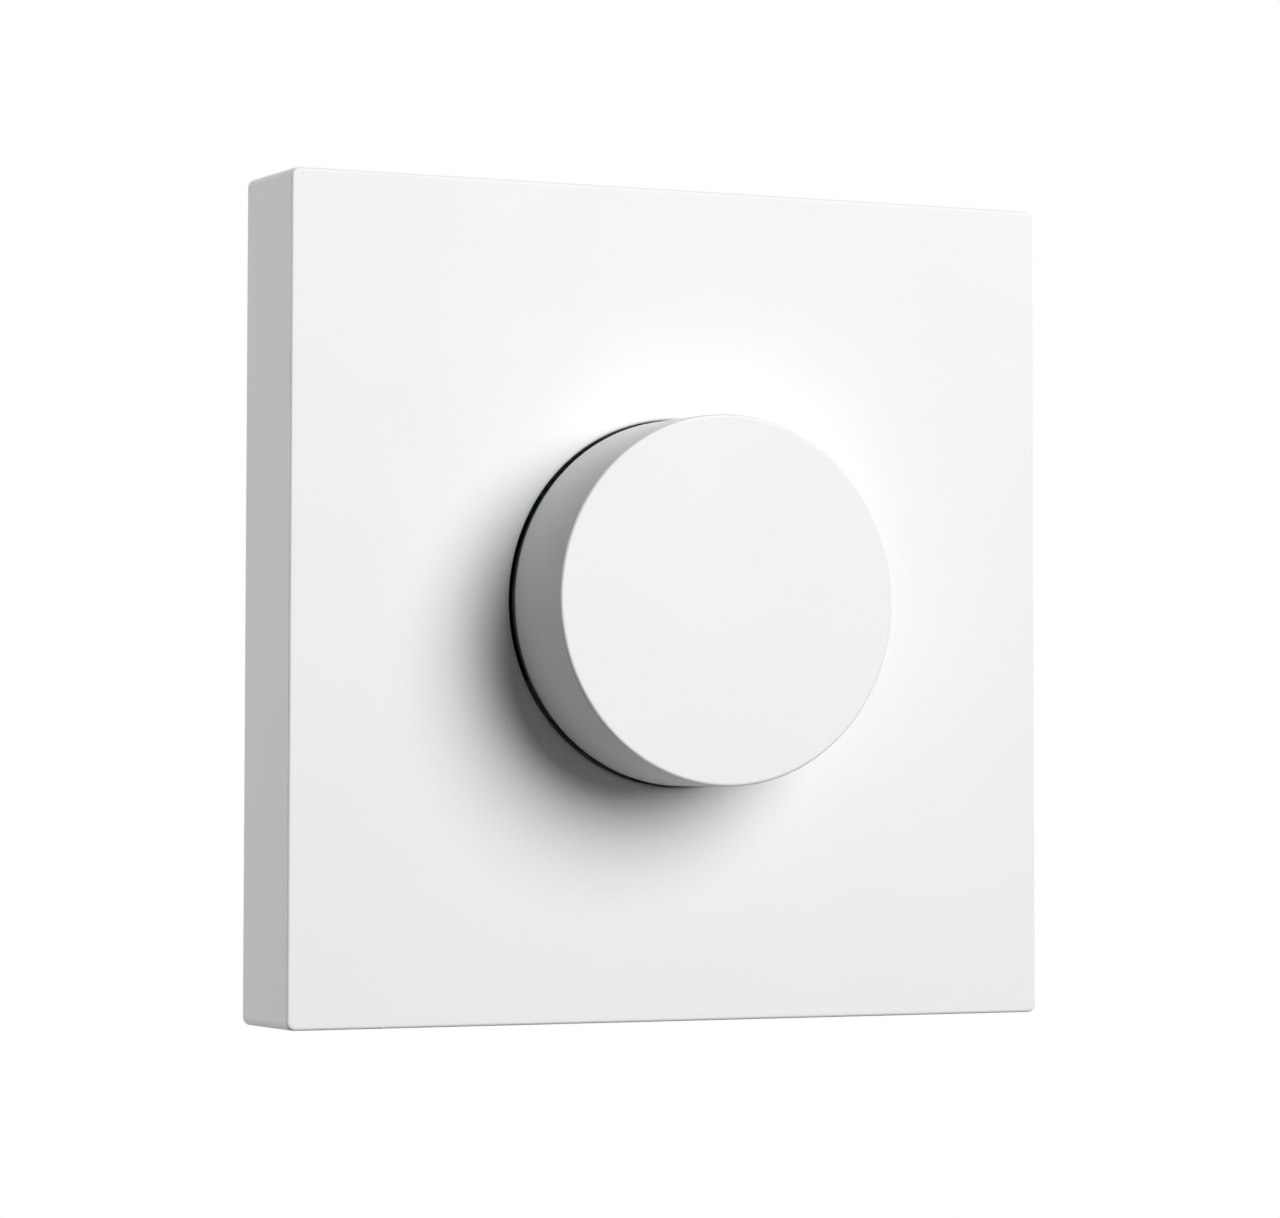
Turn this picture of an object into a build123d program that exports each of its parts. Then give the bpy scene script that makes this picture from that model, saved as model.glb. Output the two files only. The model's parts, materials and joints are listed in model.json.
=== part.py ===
from build123d import *
import os
from math import cos, radians, sin, sqrt

os.makedirs("parts", exist_ok=True)

# Wireless knob switch for a wall. All sizes are in millimetres. The wall is the plane Y = 0,
# +Z is up and the room is on the -Y side. A depth is a distance from the wall towards the room.

# Visible form
plate_size = 86.0
plate_corner_radius = 0.9
plate_edge_radius = 0.3
wall_gap = 0.3
knob_diameter = 37.7
knob_height = 12.0
knob_edge_radius = 0.3
knob_gap = 0.8
knob_opening_clearance = 0.1
press_travel = 0.5

# Clearances
moulding_clearance = 0.2
running_clearance = 0.05
switch_clearance = 0.08
screw_clearance = 0.2
thread_clearance = 0.05
board_clearance = 0.4

# Front panel
front_wall = 2.0
side_wall = 1.8
opening_edge_radius = 0.2
collar_wall = 1.5
rib_clearance = 0.3
panel_boss_radius = 2.75
boss_inset = 8.0
boss_top_depth = 5.0
seat_rib_width = 1.2
seat_rib_offset = 20.0
stiffener_width = 0.8
pry_notch_width = 9.0
pry_notch_depth = 1.4

# Wall bracket
bracket_thickness = 1.5
bracket_clearance = 0.4
bracket_corner_radius = 2.0
fixing_inset = 13.0
fixing_slot_width = 4.5
fixing_slot_length = 8.5
bracket_bridge_width = 5.75
bracket_bar_height = 14.8
bracket_window_radius = 4.0
hook_width = 6.0
hook_thickness = 1.2
hook_barb = 0.6
hook_barb_height = 1.3
hook_inset = 2.0
hook_spread = 12.0
hook_play = 0.1

# Rear cover
cover_floor = 1.5
cover_rim_wall = 1.2
cover_rim_height = 3.0
cover_corner_radius = 1.0
cover_post_radius = 3.25
head_pocket_length = 12.5
head_pocket_width = 9.5
head_pocket_depth = 2.6
pocket_wall = 1.0
pocket_board_gap = 0.3

# Housing screws
screw_head_radius = 2.0
screw_head_height = 1.4
screw_shank_radius = 1.0
screw_length = 5.0
screw_seat_depth = 2.0
cross_recess_width = 0.55
cross_recess_length = 2.2
cross_recess_depth = 0.7

# Coin cells and their bay
cell_diameter = 24.5
cell_thickness = 5.0
cell_cap_diameter = 21.0
cell_cap_height = 0.5
cell_edge_chamfer = 0.4
cell_clearance = 0.4
cell_spacing = 34.0
bay_rim_gap = 3.2
well_wall = 1.0
well_floor = 0.8
well_spare_depth = 0.4
well_front_gap = 1.3
bay_ledge = 1.0
bay_ledge_thickness = 1.2
bay_frame_wall = 1.2
battery_cover_thickness = 1.2
battery_cover_clearance = 0.15
finger_notch_radius = 6.0
finger_notch_depth = 0.7

# Cell contacts
leaf_thickness = 0.25
leaf_width = 3.5
positive_contact_angle = 60.0
negative_contact_angle = 100.0
contact_foot_length = 2.6
contact_foot_offset = 0.5
contact_reach = 12.0

# Circuit board
board_side_inset = 10.2
board_top_inset = 5.2
board_bottom = -11.0
board_thickness = 1.2
board_corner_radius = 1.5
board_post_radius = 2.2
board_screw_inset = 4.0
board_post_clearance = 0.5
board_screw_head_radius = 1.7
board_screw_head_height = 1.2
board_screw_shank_radius = 0.85
board_screw_length = 3.8

# Board components
module_width = 12.0
module_height = 16.0
module_thickness = 0.8
module_side_inset = 7.0
module_top_inset = 8.0
shield_width = 10.4
shield_height = 10.8
shield_gap = 0.2
shield_sheet = 0.2
chip_size = 5.0
chip_thickness = 0.9
chip_side_inset = 12.5
chip_top_inset = 15.5
capacitor_length = 2.0
capacitor_width = 1.25
capacitor_height = 1.0
capacitor_pitch = 3.2
capacitor_count = 4

# Push encoder
encoder_side_wall = 0.55
encoder_end_wall = 0.4
encoder_floor = 0.6
rotor_cavity_radius = 5.3
frame_sheet = 0.8
frame_leg_thickness = 0.4
frame_leg_width = 2.2
frame_leg_reach = 1.0
bushing_neck_radius = 3.95
bushing_flange_radius = 4.9
bushing_flange_height = 0.6
bushing_radius = 4.5
bushing_height = 4.3
bushing_chamfer = 0.4
terminal_width = 0.8
terminal_thickness = 0.3
terminal_pitch = 2.5
terminal_reach = 1.3
terminal_root_height = 1.6

# Rotor, shaft and push switch
rotor_thickness = 0.8
rotor_play = 0.05
detent_count = 24
detent_height = 0.35
detent_width = 0.5
detent_ring_gap = 0.6
shaft_radius = 3.0
shaft_flat = 1.5
shaft_flat_spare = 0.3
shaft_tail_radius = 1.85
shaft_tail_flat = 1.35
shaft_collar_height = 0.25
shaft_rotor_gap = 0.1
shaft_end_gap = 0.2
shaft_end_chamfer = 0.3
ring_groove_radius = 2.4
ring_radius = 3.3
ring_thickness = 0.4
ring_play = 0.1
ring_gap_width = 2.6
plunger_disc_height = 0.6
plunger_nub_height = 0.45
plunger_nub_radius = 1.0
dome_radius = 2.3
dome_height = 0.65
dome_side_gap = 0.18
dome_sheet = 0.12
detent_leaf_sheet = 0.15
detent_arm_half_length = 1.8
detent_arm_width = 0.95
detent_tip_half_length = 0.2
detent_tip_gap = 0.18

# Knob
knob_front_wall = 1.8
knob_side_wall = 1.6
knob_skirt_radius = 0.15
carrier_clearance = 0.1
carrier_wall = 1.4
carrier_flange_inset = 0.5
carrier_flange_height = 1.6
carrier_web = 1.5
carrier_hub_radius = 5.0
carrier_hub_gap = 0.8
carrier_bore_clearance = 0.03
carrier_rib_count = 6
carrier_rib_width = 1.0
carrier_rib_height = 2.0
key_count = 3
key_width = 2.0
key_depth = 0.7

# Depths of the housing: the cells' stack sets the depth of the panel
cover_back = bracket_thickness
cover_inside = cover_back + cover_floor
cover_rim_top = cover_inside + cover_rim_height
cell_back = cover_back + battery_cover_thickness
cell_front = cell_back + cell_thickness
well_front = cell_front + well_spare_depth
rib_back = well_front + well_floor + rib_clearance
panel_inside = well_front + well_floor + well_front_gap
panel_front = panel_inside + front_wall
plate_depth = panel_front - wall_gap
knob_back = panel_front + knob_gap
knob_front = panel_front + knob_height

# Widths and places across the housing
inner_size = plate_size - 2 * side_wall
knob_radius = knob_diameter / 2
opening_radius = knob_radius + knob_opening_clearance
boss_offset = plate_size / 2 - boss_inset
bracket_size = inner_size - 2 * bracket_clearance
fixing_spacing = plate_size - 2 * fixing_inset
bracket_window_width = fixing_spacing - fixing_slot_length - 2 * bracket_bridge_width
bracket_window_height = bracket_size - 2 * bracket_bar_height
cover_size = inner_size - 2 * moulding_clearance
hook_offset = bracket_size / 2 - hook_inset - hook_thickness / 2
well_radius = cell_diameter / 2 + cell_clearance
well_outer_radius = well_radius + well_wall
bay_radius = well_radius + bay_ledge
bay_recess_radius = bay_radius + battery_cover_clearance
bay_frame_radius = bay_recess_radius + bay_frame_wall
cell_height = bay_frame_radius + bay_rim_gap + cover_rim_wall - cover_size / 2

# Circuit board and what stands on it
board_back = cover_back + head_pocket_depth + pocket_wall + pocket_board_gap
board_front = board_back + board_thickness
board_width = inner_size - 2 * board_side_inset
board_top = inner_size / 2 - board_top_inset
board_screw_x = board_width / 2 - board_screw_inset
board_screw_top = board_top - board_screw_inset
board_screw_bottom = head_pocket_width / 2 + pocket_wall + board_post_radius + board_post_clearance
module_x = board_width / 2 - module_side_inset - module_width / 2
module_z = board_top - module_top_inset - module_height / 2
module_front = board_front + module_thickness
shield_rise = rib_back - shield_gap - module_front
chip_x = chip_side_inset + chip_size / 2 - board_width / 2
chip_z = board_top - chip_top_inset - chip_size / 2

# Depths and radii of the push encoder, from the board forwards
dome_base = board_front + encoder_floor
plunger_back = dome_base + dome_height
cavity_floor = plunger_back + plunger_nub_height + plunger_disc_height
rotor_back = cavity_floor + rotor_play
rotor_face = rotor_back + rotor_thickness
tail_front = rotor_face + shaft_rotor_gap + press_travel
ring_back = tail_front + shaft_collar_height
ring_front = ring_back + ring_thickness
encoder_front = ring_front + ring_play
frame_front = encoder_front + frame_sheet
bushing_front = frame_front + bushing_height
switch_pocket_radius = dome_radius + dome_side_gap
rotor_radius = rotor_cavity_radius - switch_clearance
detent_inner_radius = ring_radius + detent_ring_gap
encoder_width = 2 * (rotor_cavity_radius + encoder_side_wall)
encoder_height = 2 * (rotor_cavity_radius + encoder_end_wall)

# Depths and radii of the knob
cap_inner_radius = knob_radius - knob_side_wall
carrier_front = knob_front - knob_front_wall
carrier_radius = cap_inner_radius - carrier_clearance
carrier_inner_radius = carrier_radius - carrier_wall
carrier_flange_radius = knob_radius - carrier_flange_inset
carrier_back = knob_back - carrier_flange_height
hub_back = bushing_front + carrier_hub_gap
shaft_end = carrier_front - shaft_end_gap
shaft_flat_back = hub_back - shaft_flat_spare

boss_places = [(boss_offset * i, boss_offset * j) for i in (-1, 1) for j in (-1, 1)]
board_screw_places = [
    (board_screw_x * side, height)
    for side in (-1, 1)
    for height in (board_screw_bottom, board_screw_top)
]
cell_places = [(-cell_spacing / 2, cell_height), (cell_spacing / 2, cell_height)]

# The section plane: its first direction is a radius along +X, its second is the depth.
section = Plane(origin=(0, 0, 0), x_dir=(1, 0, 0), z_dir=(0, 0, -1))


def facing(depth):
    """Plane parallel to the wall at this depth. It faces the room, with X to the right and Z up."""
    return Plane.XZ.offset(depth)


def upright_section(place, row):
    """Plane at X = place: its first direction is +Z for row 1 or -Z for row -1, its second is the depth."""
    return Plane(origin=(place, 0, 0), x_dir=(0, 0, row), z_dir=(row, 0, 0))


def radial_plane(place, angle):
    """Plane through a cell's axis: its first direction points away from the axis, its second is the depth."""
    out = (cos(radians(angle)), 0, sin(radians(angle)))
    across = (sin(radians(angle)), 0, -cos(radians(angle)))
    return Plane(origin=(place[0], 0, place[1]), x_dir=out, z_dir=across)


def finish(piece, name):
    """Labels a finished piece and writes its file."""
    piece.label = name
    export_step(piece, f"parts/{name}.step")


# Front panel: a square shell with the knob's opening
with BuildPart() as front_panel:
    with BuildSketch(facing(wall_gap)):
        RectangleRounded(plate_size, plate_size, plate_corner_radius)
    extrude(amount=plate_depth)
    front_face = front_panel.faces().sort_by(Axis.Y)[0]
    fillet(front_face.edges(), plate_edge_radius)
    with BuildSketch(facing(wall_gap)):
        Rectangle(inner_size, inner_size)
    extrude(amount=panel_inside - wall_gap, mode=Mode.SUBTRACT)
    # Collar around the opening, screw bosses, cover seats and stiffening ribs
    with BuildSketch(facing(rib_back)):
        Circle(opening_radius + collar_wall)
        with Locations(*[Rot(Z=45 + 90 * k) for k in range(4)]):
            with Locations((boss_offset * sqrt(2) / 2, 0)):
                Rectangle(boss_offset * sqrt(2), stiffener_width)
    extrude(amount=panel_inside - rib_back)
    with BuildSketch(facing(boss_top_depth)):
        with Locations(*boss_places):
            Circle(panel_boss_radius)
    extrude(amount=panel_inside - boss_top_depth)
    with BuildSketch(facing(cover_rim_top)):
        seat_reach = side_wall + moulding_clearance + cover_rim_wall
        seat_centre = plate_size / 2 - seat_reach / 2
        for side in (-1, 1):
            with Locations(*[(side * seat_centre, seat_rib_offset * k) for k in (-1, 1)]):
                Rectangle(seat_reach, seat_rib_width)
            with Locations(*[(seat_rib_offset * k, side * seat_centre) for k in (-1, 1)]):
                Rectangle(seat_rib_width, seat_reach)
        Rectangle(plate_size - side_wall, plate_size - side_wall, mode=Mode.INTERSECT)
    extrude(amount=panel_inside - cover_rim_top)
    with BuildSketch(facing(wall_gap)):
        Circle(opening_radius)
    extrude(amount=plate_depth, mode=Mode.SUBTRACT)
    with BuildSketch(facing(boss_top_depth)):
        with Locations(*boss_places):
            Circle(screw_shank_radius + thread_clearance)
    extrude(amount=screw_length - screw_seat_depth + 1.0, mode=Mode.SUBTRACT)
    with BuildSketch(facing(wall_gap)):
        with Locations((0, -plate_size / 2)):
            Rectangle(pry_notch_width, 3 * side_wall)
    extrude(amount=pry_notch_depth, mode=Mode.SUBTRACT)
    opening_edge = (
        front_panel.edges()
        .filter_by(GeomType.CIRCLE)
        .filter_by(lambda e: abs(e.radius - opening_radius) < 0.01)
        .sort_by(Axis.Y)[0]
    )
    fillet(opening_edge, opening_edge_radius)
finish(front_panel.part, "front_panel")

# Wall bracket: a flat frame with two screw slots and four snap hooks
with BuildPart() as wall_bracket:
    with BuildSketch(facing(0)):
        RectangleRounded(bracket_size, bracket_size, bracket_corner_radius)
        RectangleRounded(
            bracket_window_width,
            bracket_window_height,
            bracket_window_radius,
            mode=Mode.SUBTRACT,
        )
        with Locations((-fixing_spacing / 2, 0), (fixing_spacing / 2, 0)):
            SlotOverall(fixing_slot_length, fixing_slot_width, mode=Mode.SUBTRACT)
    extrude(amount=bracket_thickness)
    hook_root = hook_offset - hook_thickness / 2
    hook_face = hook_offset + hook_thickness / 2
    hook_tip = hook_face + hook_barb
    catch = cover_inside + hook_play
    for side in (-1, 1):
        for place in (-hook_spread, hook_spread):
            with BuildSketch(upright_section(place - side * hook_width / 2, side)):
                with BuildLine():
                    Polyline(
                        (hook_root, bracket_thickness / 2),
                        (hook_root, catch + hook_barb_height),
                        (hook_face, catch + hook_barb_height),
                        (hook_tip, catch + hook_barb_height / 4),
                        (hook_tip, catch),
                        (hook_face, catch),
                        (hook_face, bracket_thickness / 2),
                        close=True,
                    )
                make_face()
            extrude(amount=hook_width)
finish(wall_bracket.part, "wall_bracket")

# Rear cover: floor, rim, screw posts, screw head pockets and the two cell wells
with BuildPart() as rear_cover:
    with BuildSketch(facing(cover_back)):
        RectangleRounded(cover_size, cover_size, cover_corner_radius)
    extrude(amount=cover_floor)
    with BuildSketch(facing(cover_inside)):
        RectangleRounded(cover_size, cover_size, cover_corner_radius)
        rim_inner = cover_size - 2 * cover_rim_wall
        Rectangle(rim_inner, rim_inner, mode=Mode.SUBTRACT)
    extrude(amount=cover_rim_height)
    with BuildSketch(facing(cover_back)):
        with Locations(*boss_places):
            Circle(cover_post_radius)
    extrude(amount=boss_top_depth - cover_back)
    with BuildSketch(facing(cover_inside)):
        with Locations(*board_screw_places):
            Circle(board_post_radius)
    extrude(amount=board_back - cover_inside)
    # Domes over the heads of the two wall screws
    with BuildSketch(facing(cover_back)):
        with Locations((-fixing_spacing / 2, 0), (fixing_spacing / 2, 0)):
            SlotOverall(head_pocket_length + 2 * pocket_wall, head_pocket_width + 2 * pocket_wall)
    extrude(amount=head_pocket_depth + pocket_wall)
    with BuildSketch(facing(cover_back)):
        with Locations((-fixing_spacing / 2, 0), (fixing_spacing / 2, 0)):
            SlotOverall(head_pocket_length, head_pocket_width)
    extrude(amount=head_pocket_depth, mode=Mode.SUBTRACT)
    # Battery bay: a stadium-shaped recess with a ledge, and a round well for each cell
    with BuildSketch(facing(cover_back)):
        with Locations((0, cell_height)):
            SlotOverall(cell_spacing + 2 * bay_frame_radius, 2 * bay_frame_radius)
    extrude(amount=battery_cover_thickness + bay_ledge_thickness)
    with BuildSketch(facing(cell_back)):
        with Locations(*cell_places):
            Circle(well_outer_radius)
    extrude(amount=well_front + well_floor - cell_back)
    with BuildSketch(facing(cover_back)):
        with Locations((0, cell_height)):
            SlotOverall(cell_spacing + 2 * bay_recess_radius, 2 * bay_recess_radius)
    extrude(amount=battery_cover_thickness, mode=Mode.SUBTRACT)
    with BuildSketch(facing(cell_back)):
        with Locations(*cell_places):
            Circle(well_radius)
    extrude(amount=well_front - cell_back, mode=Mode.SUBTRACT)
    # Notches in the well walls for the contacts
    for place, turn in ((cell_places[0], -1), (cell_places[1], 1)):
        positive = 90 + turn * (positive_contact_angle - 90)
        negative = 90 + turn * (negative_contact_angle - 90)
        notch_half = leaf_width / 2 + moulding_clearance
        notch_foot = well_front - 2 * leaf_thickness - moulding_clearance
        with BuildSketch(radial_plane(place, positive)):
            with Locations((well_radius - 1, cell_back + bay_ledge_thickness)):
                Rectangle(
                    well_wall + 2,
                    well_front + well_floor - cell_back - bay_ledge_thickness,
                    align=(Align.MIN, Align.MIN),
                )
        extrude(amount=notch_half, both=True, mode=Mode.SUBTRACT)
        with BuildSketch(radial_plane(place, negative)):
            with Locations((well_radius - 1, notch_foot)):
                Rectangle(well_wall + 2, well_front - notch_foot, align=(Align.MIN, Align.MIN))
        extrude(amount=notch_half, both=True, mode=Mode.SUBTRACT)
    # Counterbores for the housing screws and pilot holes for the board screws
    with BuildSketch(facing(cover_back)):
        with Locations(*boss_places):
            Circle(screw_head_radius + screw_clearance)
    extrude(amount=screw_seat_depth, mode=Mode.SUBTRACT)
    with BuildSketch(facing(cover_back)):
        with Locations(*boss_places):
            Circle(screw_shank_radius + screw_clearance)
    extrude(amount=boss_top_depth - cover_back, mode=Mode.SUBTRACT)
    with BuildSketch(facing(board_front - board_screw_length - moulding_clearance)):
        with Locations(*board_screw_places):
            Circle(board_screw_shank_radius + thread_clearance)
    extrude(amount=board_screw_length, mode=Mode.SUBTRACT)
    # Windows for the bracket's hooks
    window_depth = hook_thickness + hook_barb + 2 * hook_play
    window_centre = hook_face + hook_play - window_depth / 2
    with BuildSketch(facing(cover_back)):
        with Locations(*[(hook_spread * i, window_centre * j) for i in (-1, 1) for j in (-1, 1)]):
            Rectangle(hook_width + 2 * moulding_clearance, window_depth)
    extrude(amount=cover_floor, mode=Mode.SUBTRACT)
finish(rear_cover.part, "rear_cover")

# Housing screws: pan heads in the counterbores, shanks up into the panel's bosses
screw_seat = cover_back + screw_seat_depth
with BuildPart() as housing_screws:
    with BuildSketch(facing(screw_seat - screw_head_height)):
        with Locations(*boss_places):
            Circle(screw_head_radius)
    extrude(amount=screw_head_height)
    chamfer(housing_screws.faces().group_by(Axis.Y)[-1].edges(), screw_head_height / 3)
    with BuildSketch(facing(screw_seat)):
        with Locations(*boss_places):
            Circle(screw_shank_radius)
    extrude(amount=screw_length)
    chamfer(housing_screws.faces().group_by(Axis.Y)[0].edges(), screw_shank_radius / 3)
    with BuildSketch(facing(screw_seat - screw_head_height)):
        with Locations(*boss_places):
            Rectangle(cross_recess_length, cross_recess_width)
            Rectangle(cross_recess_width, cross_recess_length)
    extrude(amount=cross_recess_depth, mode=Mode.SUBTRACT)
finish(housing_screws.part, "housing_screws")

# Battery cover: a stadium-shaped lid with a finger notch in its outer face
with BuildPart() as battery_cover:
    with BuildSketch(facing(cover_back)):
        with Locations((0, cell_height)):
            SlotOverall(cell_spacing + 2 * bay_radius, 2 * bay_radius)
    extrude(amount=battery_cover_thickness)
    with BuildSketch(facing(cover_back)):
        with Locations((0, cell_height + bay_radius)):
            Circle(finger_notch_radius)
    extrude(amount=finger_notch_depth, mode=Mode.SUBTRACT)
finish(battery_cover.part, "battery_cover")

# Coin cells: a sealed can with its smaller cap towards the contacts
for place, cell_name in ((cell_places[0], "coin_cell_left"), (cell_places[1], "coin_cell_right")):
    with BuildPart() as coin_cell:
        with BuildSketch(facing(cell_back)):
            with Locations(place):
                Circle(cell_diameter / 2)
        extrude(amount=cell_thickness - cell_cap_height)
        chamfer(coin_cell.edges().filter_by(GeomType.CIRCLE), cell_edge_chamfer)
        with BuildSketch(facing(cell_front - cell_cap_height)):
            with Locations(place):
                Circle(cell_cap_diameter / 2)
        extrude(amount=cell_cap_height)
    finish(coin_cell.part, cell_name)

# Positive contacts: leaves that press on each can's side through a notch in the well's wall
with BuildPart() as positive_contacts:
    for place, turn in ((cell_places[0], -1), (cell_places[1], 1)):
        angle = 90 + turn * (positive_contact_angle - 90)
        foot = board_front + leaf_thickness / 2
        touch = cell_diameter / 2 + leaf_thickness / 2
        blade = well_radius + well_wall / 2
        foot_start = well_outer_radius + contact_foot_offset
        with BuildSketch(radial_plane(place, angle)):
            with BuildLine():
                Polyline(
                    (foot_start + contact_foot_length, foot),
                    (blade, foot),
                    (touch, (foot + cell_back + bay_ledge_thickness) / 2),
                    (blade - leaf_thickness, cell_back + bay_ledge_thickness + leaf_thickness),
                )
            trace(line_width=leaf_thickness)
        extrude(amount=leaf_width / 2, both=True)
finish(positive_contacts.part, "positive_contacts")

# Negative contacts: leaves along each well's floor with a bow that presses on the cap
with BuildPart() as negative_contacts:
    for place, turn in ((cell_places[0], -1), (cell_places[1], 1)):
        angle = 90 + turn * (negative_contact_angle - 90)
        foot = board_front + leaf_thickness / 2
        lie = well_front - leaf_thickness / 2
        touch = cell_front + leaf_thickness / 2
        foot_start = well_outer_radius + contact_foot_offset
        with BuildSketch(radial_plane(place, angle)):
            with BuildLine():
                Polyline(
                    (foot_start + contact_foot_length, foot),
                    (foot_start, foot),
                    (foot_start, lie),
                    (contact_reach / 2, lie),
                    (contact_reach / 6, touch),
                    (-contact_reach / 6, touch),
                    (-contact_reach / 2, lie),
                )
            trace(line_width=leaf_thickness)
        extrude(amount=leaf_width / 2, both=True)
finish(negative_contacts.part, "negative_contacts")

# Main circuit board: scalloped round the two wells
terminal_row = encoder_height / 2 + terminal_reach - terminal_thickness / 2
leg_offset = encoder_width / 2 + running_clearance + frame_leg_thickness / 2
with BuildPart() as main_circuit_board:
    with BuildSketch(facing(board_back)):
        with Locations((0, (board_top + board_bottom) / 2)):
            RectangleRounded(board_width, board_top - board_bottom, board_corner_radius)
        with Locations(*cell_places):
            Circle(well_outer_radius + board_clearance, mode=Mode.SUBTRACT)
        with Locations(*board_screw_places):
            Circle(board_screw_shank_radius + screw_clearance, mode=Mode.SUBTRACT)
        with Locations(*[(terminal_pitch * k, -terminal_row) for k in (-1, 0, 1)]):
            Circle(terminal_width / 2 + screw_clearance, mode=Mode.SUBTRACT)
        with Locations(*[(terminal_pitch * k, terminal_row) for k in (-1, 1)]):
            Circle(terminal_width / 2 + screw_clearance, mode=Mode.SUBTRACT)
        with Locations((-leg_offset, 0), (leg_offset, 0)):
            Rectangle(
                frame_leg_thickness + 2 * screw_clearance,
                frame_leg_width + 2 * screw_clearance,
                mode=Mode.SUBTRACT,
            )
    extrude(amount=board_thickness)
finish(main_circuit_board.part, "main_circuit_board")

# Board screws: driven from the front into the rear cover's posts
with BuildPart() as board_screws:
    with BuildSketch(facing(board_front)):
        with Locations(*board_screw_places):
            Circle(board_screw_head_radius)
    extrude(amount=board_screw_head_height)
    chamfer(board_screws.faces().group_by(Axis.Y)[0].edges(), board_screw_head_height / 3)
    with BuildSketch(facing(board_front - board_screw_length)):
        with Locations(*board_screw_places):
            Circle(board_screw_shank_radius)
    extrude(amount=board_screw_length)
    with BuildSketch(facing(board_front + board_screw_head_height)):
        with Locations(*board_screw_places):
            Rectangle(cross_recess_length, cross_recess_width)
            Rectangle(cross_recess_width, cross_recess_length)
    extrude(amount=-cross_recess_depth, mode=Mode.SUBTRACT)
finish(board_screws.part, "board_screws")

# Radio module, its shield, the control chip and a row of capacitors
with BuildPart() as radio_module:
    with BuildSketch(facing(board_front)):
        with Locations((module_x, module_z)):
            Rectangle(module_width, module_height)
    extrude(amount=module_thickness)
finish(radio_module.part, "radio_module")

shield_z = module_z - (module_height - shield_height) / 2 + shield_sheet * 2
with BuildPart() as radio_shield:
    with BuildSketch(facing(module_front)):
        with Locations((module_x, shield_z)):
            RectangleRounded(shield_width, shield_height, shield_sheet * 3)
    extrude(amount=shield_rise)
    offset(amount=-shield_sheet, openings=radio_shield.faces().sort_by(Axis.Y)[-1])
finish(radio_shield.part, "radio_shield")

with BuildPart() as control_chip:
    with BuildSketch(facing(board_front)):
        with Locations((chip_x, chip_z)):
            Rectangle(chip_size, chip_size)
    extrude(amount=chip_thickness)
finish(control_chip.part, "control_chip")

with BuildPart() as capacitors:
    with BuildSketch(facing(board_front)):
        with Locations((chip_x, chip_z + chip_size)):
            with GridLocations(capacitor_pitch, 0, capacitor_count, 1):
                Rectangle(capacitor_width, capacitor_length)
    extrude(amount=capacitor_height)
finish(capacitors.part, "capacitors")

# Encoder housing: a block with the switch's pocket and the rotor's cavity
with BuildPart() as encoder_housing:
    with BuildSketch(facing(board_front)):
        Rectangle(encoder_width, encoder_height)
    extrude(amount=encoder_front - board_front)
    with BuildSketch(facing(dome_base)):
        Circle(switch_pocket_radius)
    extrude(amount=encoder_front - dome_base, mode=Mode.SUBTRACT)
    with BuildSketch(facing(cavity_floor)):
        Circle(rotor_cavity_radius)
    extrude(amount=encoder_front - cavity_floor, mode=Mode.SUBTRACT)
finish(encoder_housing.part, "encoder_housing")

# Encoder frame: pressed sheet over the housing with two legs through the board
with BuildPart() as encoder_frame:
    with BuildSketch(facing(encoder_front)):
        Rectangle(encoder_width, encoder_height)
        Rectangle(2 * (leg_offset + frame_leg_thickness / 2), frame_leg_width)
        Circle(bushing_neck_radius + running_clearance, mode=Mode.SUBTRACT)
    extrude(amount=frame_sheet)
    with BuildSketch(facing(board_back - frame_leg_reach)):
        with Locations((-leg_offset, 0), (leg_offset, 0)):
            Rectangle(frame_leg_thickness, frame_leg_width)
    extrude(amount=frame_front - board_back + frame_leg_reach)
    leg_side = leg_offset + frame_leg_thickness / 2
    bends = (
        encoder_frame.edges()
        .filter_by(Axis.Z)
        .filter_by(lambda e: abs(abs(e.center().X) - leg_side) < 0.01)
        .group_by(Axis.Y)[0]
    )
    fillet(bends, frame_leg_thickness)
finish(encoder_frame.part, "encoder_frame")

# Encoder bushing: neck through the frame, flange and round barrel
with BuildPart() as encoder_bushing:
    with BuildSketch(section):
        bore = shaft_radius + running_clearance
        flange_top = frame_front + bushing_flange_height
        with BuildLine():
            Polyline(
                (bore, encoder_front),
                (bushing_neck_radius, encoder_front),
                (bushing_neck_radius, frame_front),
                (bushing_flange_radius, frame_front),
                (bushing_flange_radius, flange_top),
                (bushing_radius, flange_top),
                (bushing_radius, bushing_front - bushing_chamfer),
                (bushing_radius - bushing_chamfer, bushing_front),
                (bore, bushing_front),
                close=True,
            )
        make_face()
    revolve(axis=Axis.Y)
finish(encoder_bushing.part, "encoder_bushing")

# Encoder terminals: bent pins, three below the housing and two above
with BuildPart() as encoder_terminals:
    for row, places in ((-1, (-1, 0, 1)), (1, (-1, 1))):
        for k in places:
            root = board_front + terminal_root_height
            side = encoder_height / 2
            pin = side + terminal_reach - terminal_thickness / 2
            with BuildSketch(upright_section(terminal_pitch * k, row)):
                with BuildLine():
                    Polyline((side, root), (pin, root), (pin, board_back - frame_leg_reach))
                trace(line_width=terminal_thickness)
            extrude(amount=terminal_width / 2, both=True)
finish(encoder_terminals.part, "encoder_terminals")

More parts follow.
